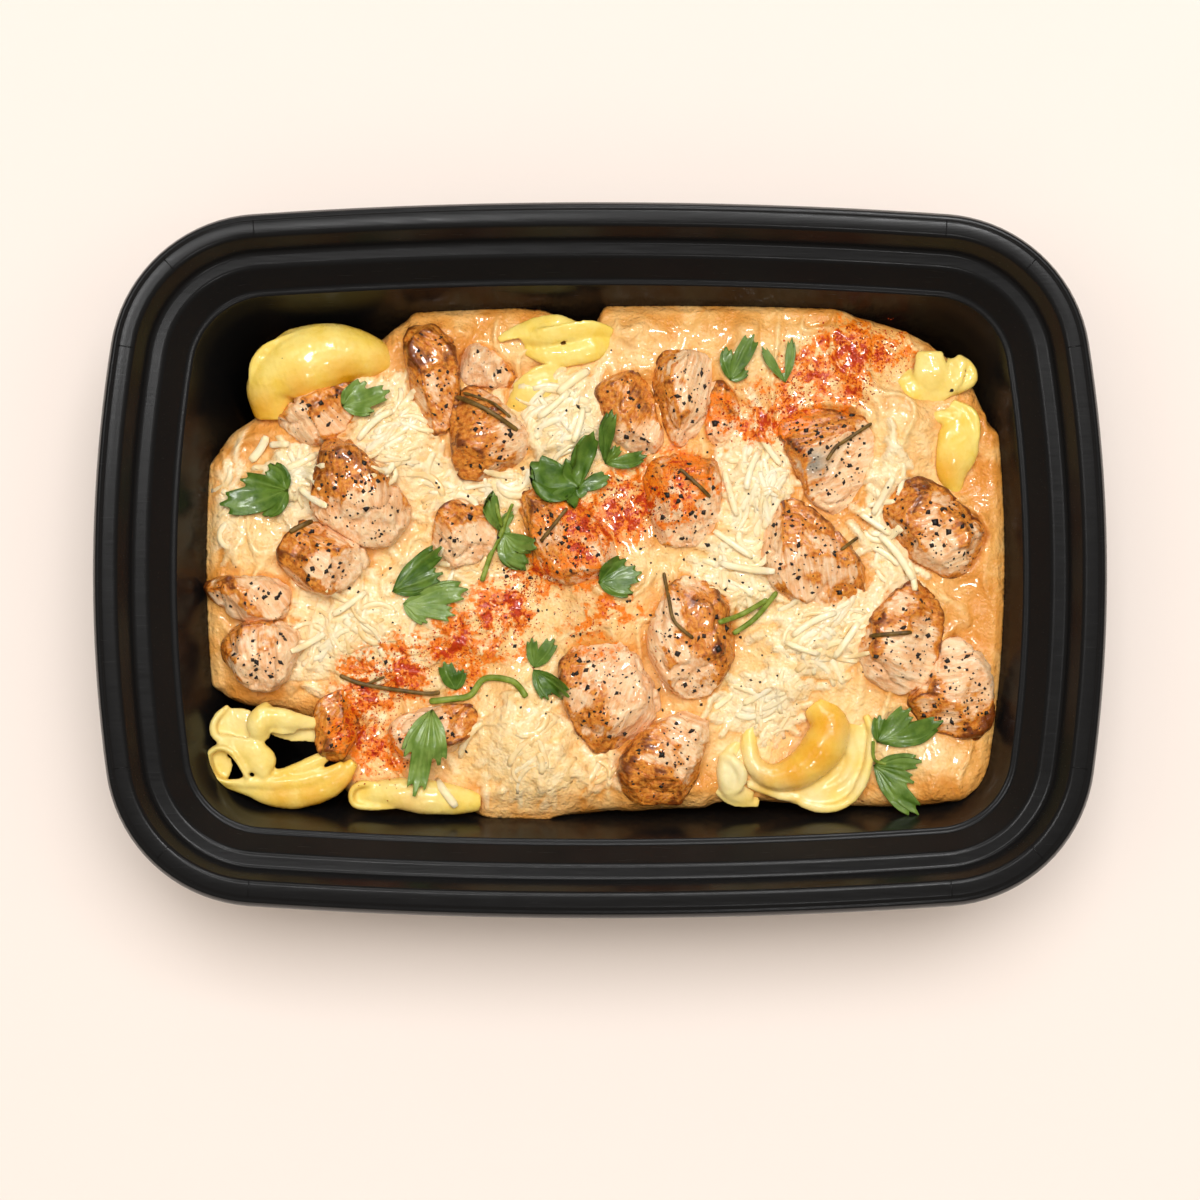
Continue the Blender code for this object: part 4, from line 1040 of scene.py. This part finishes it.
def sauce_height(places, outlines, tops, strands):
    """Height of the sauce away from its edge."""
    flat = np.column_stack([places, np.zeros(len(places))])
    height = level_at(places)
    for mound_x, mound_y, rise, radius in SAUCE_MOUNDS:
        squared = ((places - (mound_x, mound_y)) ** 2).sum(axis=1)
        height += rise * np.exp(-squared / radius**2)
    warp = [lattice_noise(flat, 9.0, 3), lattice_noise(flat, 9.0, 4), np.zeros(len(flat))]
    warp = np.column_stack(warp)
    height += 0.8 * layered_noise(flat + 3.0 * warp, 13.0, 5, 2)
    height += 0.45 * layered_noise(flat + 1.5 * warp, 4.5, 6, 2)
    folds = 1.0 - np.abs(lattice_noise(flat * (1.0, 0.55, 1.0) + 4.0 * warp, 6.0, 8))
    height += 0.9 * smoothstep(0.70, 1.0, folds)
    height += 0.4 * strands
    for outline, top in zip(outlines, tops):
        gap = outside_distance(places, outline)
        height += 0.5 * np.exp(-np.maximum(gap - 0.8, 0.0) / 1.2) * (gap > -2.0)
        buried = smoothstep(0.9, -0.9, gap)
        height += buried * (np.minimum(height, top - CHUNK_BURIED) - height)
    return height


def stamp_shreds(places, height, outlines):
    """Lays melted shreds into the sauce. Gives the new heights and how much each place is cheese."""
    calm = height.copy()
    height = height.copy()
    cheese = np.zeros(len(places))
    for x, y, wide, deep, count, heading, whiteness in CHEESE:
        for index in range(count * MELTED_SHREDS):
            spot = np.array([x, y]) + RANDOM.normal(0.0, 0.6, 2) * (wide, deep)
            length = RANDOM.uniform(5.0, 12.0)
            half_width = RANDOM.uniform(0.65, 1.15)
            vectors = heading_vectors(math.radians(heading + RANDOM.normal(0.0, 34.0)))
            bend = RANDOM.normal(0.0, 0.05)
            if min(outside_distance(spot[None], outline)[0] for outline in outlines) < 0.0:
                continue
            near = np.flatnonzero(np.abs(places - spot).max(axis=1) < length / 2 + 1.5)
            off = places[near] - spot
            along, across = (off @ vector for vector in vectors)
            across -= bend * along**2 / 2
            gap = np.hypot(across, np.maximum(np.abs(along) - length / 2 + half_width, 0.0)) / half_width
            swell = np.sqrt(np.clip(1.0 - gap**4, 0.0, 1.0))
            layer = 0.9 * whiteness * RANDOM.random() * index / (count * MELTED_SHREDS)
            raised = calm[near] + layer + (0.28 + 0.3 * half_width) * swell
            on_top = (gap < 1.0) & (raised > height[near])
            height[near[on_top]] = raised[on_top]
            shade = np.clip(whiteness + RANDOM.normal(0.0, 0.22), 0.05, 1.0)
            cheese[near[on_top]] = shade * swell[on_top]
    return height, cheese


def closed_below(top, top_faces, edge, turns, reach):
    """Adds sides and a bottom below an edge whose points lie in some directions at some reach."""
    points = [top]
    faces = list(top_faces)
    facing = np.column_stack([np.cos(turns), np.sin(turns)])
    start = len(top)
    for level in SAUCE_SIDE_LEVELS:
        wall = reach_at(turns, tray_ring(wall_inset(level) + SAUCE_SIDE_GAP))
        out = facing * np.minimum(reach, wall)[:, None]
        points.append(np.column_stack([out, np.full(len(edge), level)]))
        fresh = list(range(start, start + len(edge)))
        faces += skirt_faces(edge, fresh)
        edge = fresh
        start += len(edge)
    faces.append(tuple(edge))
    return np.concatenate(points), faces


def add_sauce(material, surfaces, outlines, tops):
    """The sauce as a closed body, its top a fine grid fitted to the shore."""
    shore = smooth_curve(SAUCE_SHORE, 12, closed=True)
    columns, rows = SAUCE_CELLS
    u, v = np.meshgrid(np.linspace(-1.0, 1.0, columns), np.linspace(-1.0, 1.0, rows))
    u, v = u.ravel(), v.ravel()
    half_length, half_width = np.abs(shore).max(axis=0)
    squareness = np.maximum(abs(u), abs(v))
    turn = np.arctan2(v * half_width, u * half_length)
    facing = np.column_stack([np.cos(turn), np.sin(turn)])
    wavy = 0.5 * lattice_noise(np.column_stack([facing * 60.0, turn * 0.0]), 5.0, 11)
    reach = reach_at(turn, shore) + wavy
    low_wall, high_wall = wall_reach(turn, 0.04)
    bottom, upper = WALL_GAUGES
    share = (level_at(facing * low_wall[:, None]) - WALL_EDGE[0] - bottom) / (upper - bottom)
    limit = low_wall + (high_wall - low_wall) * share
    touching = smoothstep(-1.5, 0.3, reach - limit)
    reach = np.minimum(reach, limit)
    places = facing * (squareness * reach)[:, None]
    inward = (1.0 - squareness) * reach
    melted, strands = cheese_near(np.column_stack([places, turn * 0.0]))
    height = sauce_height(places, outlines, tops, strands)
    for (drop, width), part in ((FREE_EDGE, 1.0 - touching), (WALL_EDGE, touching)):
        slope = 1.0 - np.clip(inward / width, 0.0, 1.0)
        height -= part * drop * (1.0 - np.sqrt(1.0 - slope**2))
    wall_level = level_at(facing * limit[:, None]) - WALL_EDGE[0]
    near_wall = touching * smoothstep(7.0, 0.0, inward)
    height += near_wall * (wall_level + WALL_EDGE[0] * smoothstep(0.0, 2.0, inward) - height)
    laid, cheese = stamp_shreds(places, height, outlines)
    inland = smoothstep(1.0, 3.5, inward)
    height += inland * (laid - height)
    top = np.column_stack([places, height])
    top_faces = grid_faces(rows, columns, wrap=False)
    rim = grid_border(rows, columns)
    points, faces = closed_below(top, top_faces, rim, turn[rim], reach[rim])
    flat = np.column_stack([points[:, :2], np.zeros(len(points))])
    # The tone of the sauce: darker towards the food's edge, paler where cheese has melted in and in one
    # patch, with random variation.
    cream_and_painted_light = np.zeros(len(points))
    cream_and_painted_light[: len(top)] = 0.14 + 0.40 * smoothstep(0.0, 16.0, inward) + 0.35 * melted + 0.15 * strands
    cream_and_painted_light[: len(top)] += 0.22 * np.exp(-(((places - (-14.0, -40.0)) / (12.0, 14.0)) ** 2).sum(axis=1))
    cream_and_painted_light += 0.14 * lattice_noise(flat, 14.0, 21)
    # Painted light and shade: the tone rises where the sauce stands above its smoothed self and falls in
    # its hollows.
    calm = relaxed(top, top_faces, 12)[:, 2]
    cream_and_painted_light[: len(top)] += 0.55 * np.clip(top[:, 2] - calm, -0.5, 0.4) * inland
    # Painted shade: a darker ring round each chunk's base, where the sauce meets the chicken.
    for outline in outlines:
        cream_and_painted_light -= 0.60 * np.exp(-np.maximum(outside_distance(points[:, :2], outline) - 0.3, 0.0) / 1.1)
    surfaces.add(top, top_faces)
    cheese = np.concatenate([cheese * inland, np.zeros(len(points) - len(top))])
    values = {"cream_and_painted_light": cream_and_painted_light, "cheese": cheese, "paprika": strength_at(flat, PAPRIKA)}
    add_piece("sauce_body", points, faces, material, ["sauce"], values)


# --- The chicken --------------------------------------------------------------------------------


def knife_cut(points, chance):
    """Flattens a chunk at a few random planes, as knife cuts leave it."""
    whole = points
    centre = 0.5 * (points.min(axis=0) + points.max(axis=0))
    for _ in range(KNIFE_CUTS):
        turn = chance.uniform(0.0, math.tau)
        rise = chance.uniform(0.4, 1.3)
        facing = np.append(heading_vectors(turn)[0] * math.cos(rise), math.sin(rise))
        limit = ((whole - centre) @ facing).max() - chance.uniform(0.4, 1.0 + 1.8 * math.sin(rise))
        points = points - np.outer(np.maximum((points - centre) @ facing - limit, 0.0), facing)
    return points


def add_chunk(number, browned, brownest, material, surfaces):
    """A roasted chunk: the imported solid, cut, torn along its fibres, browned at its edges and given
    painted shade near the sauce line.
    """
    node = f"chicken_{number:02d}"
    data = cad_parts[node].data
    corners = np.array([tuple(vertex.co) for vertex in data.vertices]) / MM
    sides = [tuple(polygon.vertices) for polygon in data.polygons]
    points, faces = remeshed([(corners, sides)], CHUNK_GRAIN, 2)
    points = points + vertex_normals(points, faces) * CHUNK_SWELL
    chance = np.random.default_rng(300 + number)
    points = knife_cut(points, chance)
    normals = vertex_normals(points, faces)
    calm = relaxed(points, faces, 18)
    ridge = np.clip(((points - calm) * normals).sum(axis=1) / 0.45, -1.0, 1.0)
    seed = 40 + 3 * number
    turn = chance.uniform(0.0, math.tau)
    along = np.array([math.cos(turn), math.sin(turn), 0.25])
    along /= np.linalg.norm(along)
    run = points @ along
    across = points - np.outer(run, along)
    fibres = lattice_noise(across + np.outer(run * 0.14, along), 1.3, seed)
    move = 0.28 * layered_noise(points, 5.0, seed + 1, 2)
    move += 0.14 * layered_noise(points, 1.8, seed + 2, 2)
    move += 0.26 * fibres
    cleft = 1.0 - np.abs(lattice_noise(points + 0.6 * across, 8.0, seed + 5))
    move -= 0.7 * smoothstep(0.88, 1.0, cleft)
    points = held_inside(points + normals * move[:, None])
    top = points[:, 2].max()
    flat = points[:, :2]
    middle = 0.5 * (flat.min(axis=0) + flat.max(axis=0))
    off = (flat - middle) @ heading_vectors(math.radians(brownest))[0]
    tendency = 0.45 * ridge + 0.9 * off / np.abs(off).max() + 0.75 * layered_noise(points, 6.0, seed + 7, 3)
    seen = normals[:, 2] > 0.2
    sear_and_painted_shade = np.minimum(tendency - np.quantile(tendency[seen], 1.0 - browned), 0.45)
    sear_and_painted_shade += 0.5 * np.maximum(ridge, 0.0) * (sear_and_painted_shade > -0.1)
    level = level_at(points)
    sear_and_painted_shade += 1.3 * strength_at(points, CHAR_PATCH)
    # Painted shade: the sear rises towards the sauce line, browning and darkening the chunk where it sinks
    # into the sauce.
    sear_and_painted_shade += 0.7 * smoothstep(level + 2.6, level + 0.4, points[:, 2])
    values = {
        "sear_and_painted_shade": sear_and_painted_shade,
        "fibre_place": (across + np.outer(run * 0.14 + 20.0 * number, along)) * MM,
        "skin": strength_at(points, SKIN_PATCH),
        "paprika": strength_at(points, PAPRIKA) * smoothstep(top - 9.0, top - 3.0, points[:, 2]),
        "sauced": 1.0 - smoothstep(level - 0.6, level + 1.4, points[:, 2]),
    }
    surfaces.add(points, faces)
    add_piece(f"roast_chunk_{number:02d}", points, faces, material, [node], values)


# --- The tortellini -----------------------------------------------------------------------------

def add_tortellino(node, strands, material, surfaces):
    rows = [smooth_curve(stations, STRAND_STEPS) for stations, _ in strands]
    shells = [tube(row, STRAND_SIDES, twist) for row, (_, twist) in zip(rows, strands)]
    points, faces = remeshed(shells, DOUGH_GRAIN, 5)
    normals = vertex_normals(points, faces)
    seed = 200 + int(node[-1])
    ribs = np.sin(points @ np.array([4.4, 1.6, 0.0]) + 1.5 * lattice_noise(points, 6.0, seed))
    move = 0.16 * layered_noise(points, 4.0, seed + 1) + 0.012 * ribs
    points = held_inside(points + normals * move[:, None])
    level = level_at(points)
    # Painted shade: the steep sides of the dough take the deep yolk colour as well.
    steep = smoothstep(0.85, 0.15, normals[:, 2])
    mottle = 0.8 + 0.3 * lattice_noise(points, 5.0, seed)
    values = {
        "golden_and_painted_shade": np.clip(strength_at(points, GOLDEN) + 0.45 * steep * mottle, 0.0, 1.0),
        "creamy": strength_at(points, CREAMY),
        "sauced": COATED.get(node, 0.0) + 1.0 - smoothstep(level - 4.0, level - 2.0, points[:, 2]),
    }
    surfaces.add(points, faces)
    add_piece(f"pasta_{node}", points, faces, material, [node], values)


# --- Toppings -----------------------------------------------------------------------------------


def shred(spot, heading, length, width, bend, height, surfaces):
    """One shred of cheese, bent over what it lies on."""
    line = []
    steps = 9
    for step in range(steps):
        along = (step / (steps - 1) - 0.5) * length
        angle = math.radians(heading) + bend * along
        place = (spot[0] + along * math.cos(angle), spot[1] + along * math.sin(angle))
        line.append((*place, surfaces.drop(*place)[0]))
    line = np.array(line)
    for _ in range(4):
        calm = 0.4 * line[1:-1, 2] + 0.3 * (line[:-2, 2] + line[2:, 2])
        line[1:-1, 2] = np.maximum(calm, line[1:-1, 2] - 0.25)
    line[:, 2] += height
    return ribbon(line, width / 2, 0.22 + 0.1 * width)


def add_cheese(material, surfaces, outlines):
    """Shreds of cheese, most of them half sunk in the sauce and some loose on top."""
    shreds = []
    coats = []
    for x, y, wide, deep, count, heading, whiteness in CHEESE:
        for index in range(int(count * SOLID_SHREDS)):
            spot = np.array([x, y]) + RANDOM.normal(0.0, 0.5, 2) * (wide, deep)
            if min(outside_distance(spot[None], outline)[0] for outline in outlines) < 0.5:
                continue
            share = index / count
            width = RANDOM.uniform(1.0, 1.9)
            length = RANDOM.uniform(4.5, 10.5)
            height = -0.15 + 0.35 * share * RANDOM.random() * whiteness
            turned = heading + RANDOM.normal(0.0, 36.0)
            bend = RANDOM.normal(0.0, 0.09)
            shreds.append(shred(spot, turned, length, width, bend, height, surfaces))
            coats.append(np.clip(0.95 - whiteness + RANDOM.normal(0.0, 0.2), 0.0, 1.0))
    for x, y, heading, length, width in LOOSE_CHEESE:
        shreds.append(shred((x, y), heading, length, width, RANDOM.normal(0.0, 0.02), 0.75, surfaces))
        coats.append(0.0)
    points, faces = joined(shreds)
    coated = np.repeat(coats, [len(shell[0]) for shell in shreds])
    surfaces.add(points, faces)
    values = {"paprika": strength_at(points, PAPRIKA) * 0.85, "sauced": coated}
    add_piece("cheese_shreds", points, faces, material, (), values)


def leaf(x, y, lobes, lift, surfaces):
    """A leaf that fans out from its base in toothed lobes, creased, and laid on what is under it."""
    rings, spokes = LEAF_RINGS, LEAF_SPOKES
    first = min(turn - LOBE_MARGIN * spread for turn, _, spread in lobes)
    last = max(turn + LOBE_MARGIN * spread for turn, _, spread in lobes)
    centre = 0.5 * (first + last)
    turns = np.linspace(first, last, spokes)
    reach = np.full(spokes, 2.2)
    vein = np.zeros(spokes)
    for turn, length, spread in lobes:
        off = np.clip(np.abs(turns - turn) / (LOBE_MARGIN * spread), 0.0, 1.0)
        teeth = 1.0 - 0.12 * np.abs(np.sin(off * 2.2 * math.pi)) * (off > 0.10)
        reach = np.maximum(reach, length * (1.0 - off**2.6) ** 0.5 * teeth)
        vein = np.maximum(vein, np.exp(-((off / 0.10) ** 2)))
    crease = 1.0 - vein
    points = []
    veins = []
    for ring in range(rings):
        out = (ring / (rings - 1)) ** 0.9
        belly = 1.0 + 0.35 * math.sin(math.pi * out)
        for spoke in range(spokes):
            angle = math.radians(centre + (turns[spoke] - centre) * belly)
            place = (x + reach[spoke] * out * math.cos(angle), y + reach[spoke] * out * math.sin(angle))
            fold = 0.35 * crease[spoke] * math.sin(math.pi * out)
            z = 0.45 + fold + lift * out**1.8 * reach[spoke] / 12.0
            points.append((*place, z + surfaces.drop(*place)[0]))
            veins.append(vein[spoke] * (1.0 - 0.6 * out))
    points = np.array(points)
    heights = points[:, 2].reshape(rings, spokes)
    lowest = heights - 0.1
    for _ in range(14):
        calm = heights.copy()
        in_line = heights[:-2, 1:-1] + heights[2:, 1:-1]
        calm[1:-1, 1:-1] = 0.25 * (in_line + heights[1:-1, :-2] + heights[1:-1, 2:])
        calm[-1] = 0.5 * (heights[-1] + calm[-2])
        heights = np.maximum(calm, lowest)
    points[:, 2] = heights.ravel()
    count = len(points)
    under = points - (0.0, 0.0, LEAF_THICKNESS)
    faces = grid_faces(rings, spokes, wrap=False)
    faces += [tuple(index + count for index in face[::-1]) for face in faces]
    border = grid_border(rings, spokes)
    faces += skirt_faces(border, [index + count for index in border])
    return np.concatenate([points, under]), faces, np.array(veins * 2)


def add_leaves(material, surfaces):
    shells = []
    veins = []
    pale = []
    for x, y, lobes, lift, paleness in LEAVES:
        points, faces, vein = leaf(x, y, lobes, lift, surfaces)
        shells.append((points, faces))
        veins.append(vein)
        pale.append(np.full(len(points), paleness))
    points, faces = joined(shells)
    values = {"vein": np.concatenate(veins), "pale": np.concatenate(pale)}
    add_piece("parsley_leaves", points, faces, material, (), values)


def add_stems(material, surfaces):
    shells = []
    fresh = []
    for route, half_width, lift, is_fresh in STEMS:
        line = smooth_curve(route, 8)
        heights = np.array([surfaces.drop(x, y)[0] for x, y in line])
        lowest = heights[1:-1] - 0.1
        for _ in range(6):
            calm = 0.5 * heights[1:-1] + 0.25 * (heights[:-2] + heights[2:])
            heights[1:-1] = np.maximum(calm, lowest)
        path = np.column_stack([line, heights + lift * 0.5 + 0.2])
        shell = ribbon(path, half_width, half_width * 0.8)
        shells.append(shell)
        fresh.append(np.full(len(shell[0]), float(is_fresh)))
    points, faces = joined(shells)
    add_piece("herb_stems", points, faces, material, (), {"fresh": np.concatenate(fresh)})


def grain(place, sizes, shares, lift, flatness, surfaces):
    """A crumb with eight faces and uneven corners, of a random one of the sizes, where it falls."""
    size = RANDOM.choice(sizes, p=shares)
    corners = np.array([(1, 0, 0), (0, 1, 0), (-1, 0, 0), (0, -1, 0), (0, 0, 1), (0, 0, -1)], float)
    corners *= RANDOM.uniform(0.55, 1.15, (6, 1))
    corners[:, 2] *= flatness
    spin = np.eye(3)
    spin[:2, :2] = np.column_stack(heading_vectors(RANDOM.uniform(0.0, math.tau)))
    ground = (*place, surfaces.drop(*place)[0] + lift)
    points = corners * size * RANDOM.uniform(0.6, 1.4, (1, 3)) @ spin.T + ground
    faces = [(k, (k + 1) % 4, 4) for k in range(4)] + [((k + 1) % 4, k, 5) for k in range(4)]
    return points, faces


def add_pepper(material, surfaces, outlines):
    """Cracked pepper: thick on the chicken, thin on the sauce between."""
    grains = []
    for outline in outlines:
        low, high = outline.min(axis=0), outline.max(axis=0)
        count = int(np.prod(high - low) * RANDOM.uniform(0.16, 0.36))
        for place in RANDOM.uniform(low, high, (count, 2)):
            if outside_distance(place[None], outline)[0] <= -0.8:
                grains.append(grain(place, *CHUNK_PEPPER, 0.05, 0.6, surfaces))
    for place in RANDOM.normal(0.0, 1.0, (420, 2)) * (34.0, 22.0) + (-2.0, 0.0):
        if abs(place[0]) <= 82.0 and abs(place[1]) <= 48.0:
            grains.append(grain(place, *SAUCE_PEPPER, 0.05, 0.6, surfaces))
    points, faces = joined(grains)
    add_piece("pepper_grains", points, faces, material)


def add_paprika(material, surfaces):
    grains = []
    for x, y, radius, strength in PAPRIKA:
        for place in RANDOM.normal(0.0, radius * 0.6, (int(75 * radius * strength), 2)) + (x, y):
            if abs(place[0]) <= 88.0 and abs(place[1]) <= 55.0:
                grains.append(grain(place, *PAPRIKA_POWDER, 0.04, 0.5, surfaces))
    points, faces = joined(grains)
    add_piece("paprika_grains", points, faces, material)


# --- The studio ---------------------------------------------------------------------------------


def add_floor():
    mesh = bpy.data.meshes.new("floor")
    corners = [(x * FLOOR_HALF, y * FLOOR_HALF, 0) for x, y in ((-1, -1), (1, -1), (1, 1), (-1, 1))]
    mesh.from_pydata(corners, [], [(0, 1, 2, 3)])
    mesh.materials.append(floor_look())
    floor = bpy.data.objects.new("floor", mesh)
    bpy.context.scene.collection.objects.link(floor)


def add_light(name, place, size, power, color, glint=False):
    """A soft rectangular light that faces the tray. A glint light is seen only in glossy surfaces."""
    data = bpy.data.lights.new(name, "AREA")
    data.shape = "RECTANGLE"
    data.size, data.size_y = size
    data.energy = power
    data.color = color
    light = bpy.data.objects.new(name, data)
    light.location = place
    light.visible_glossy = glint
    light.visible_diffuse = not glint
    light.rotation_euler = (Vector((0.0, 0.0, 0.02)) - Vector(place)).to_track_quat("-Z", "Y").to_euler()
    bpy.context.scene.collection.objects.link(light)


def add_studio():
    add_floor()
    for light in SOFT_LIGHTS:
        add_light(*light)
    for light in GLINT_LIGHTS:
        add_light(*light, glint=True)
    world = bpy.data.worlds.new("studio")
    world.use_nodes = True
    sky = world.node_tree.nodes["Background"]
    sky.inputs["Color"].default_value = (*SKY_COLOR, 1.0)
    sky.inputs["Strength"].default_value = SKY_STRENGTH
    bpy.context.scene.world = world
    bpy.context.scene.view_settings.view_transform = "Standard"
    data = bpy.data.cameras.new("camera")
    data.lens = CAMERA_LENS
    data.sensor_width = 36.0
    camera = bpy.data.objects.new("camera", data)
    camera.location = Vector(CAMERA_PLACE) * MM
    camera.rotation_euler = (math.radians(CAMERA_TILT), 0.0, 0.0)
    bpy.context.scene.collection.objects.link(camera)
    bpy.context.scene.camera = camera


def build():
    surfaces = Surfaces()
    chunk_nodes = [f"chicken_{number:02d}" for number in range(1, len(ROASTING) + 1)]
    chunk_outlines = [outline_of(node) for node in chunk_nodes]
    chunk_tops = [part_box(node)[1][2] / MM for node in chunk_nodes]
    add_tray(tray_look())
    add_sauce(sauce_look(), surfaces, chunk_outlines, chunk_tops)
    chicken = chicken_look()
    for number, (browned, brownest) in enumerate(ROASTING, 1):
        add_chunk(number, browned, brownest, chicken, surfaces)
    pasta = pasta_look()
    for node, strands in sorted(TORTELLINI.items()):
        add_tortellino(node, strands, pasta, surfaces)
    add_cheese(cheese_look(), surfaces, chunk_outlines)
    add_paprika(paprika_look(), surfaces)
    add_pepper(pepper_look(), surfaces, chunk_outlines)
    add_stems(stem_look(), surfaces)
    add_leaves(leaf_look(), surfaces)
    add_studio()


build()
bpy.context.view_layer.update()
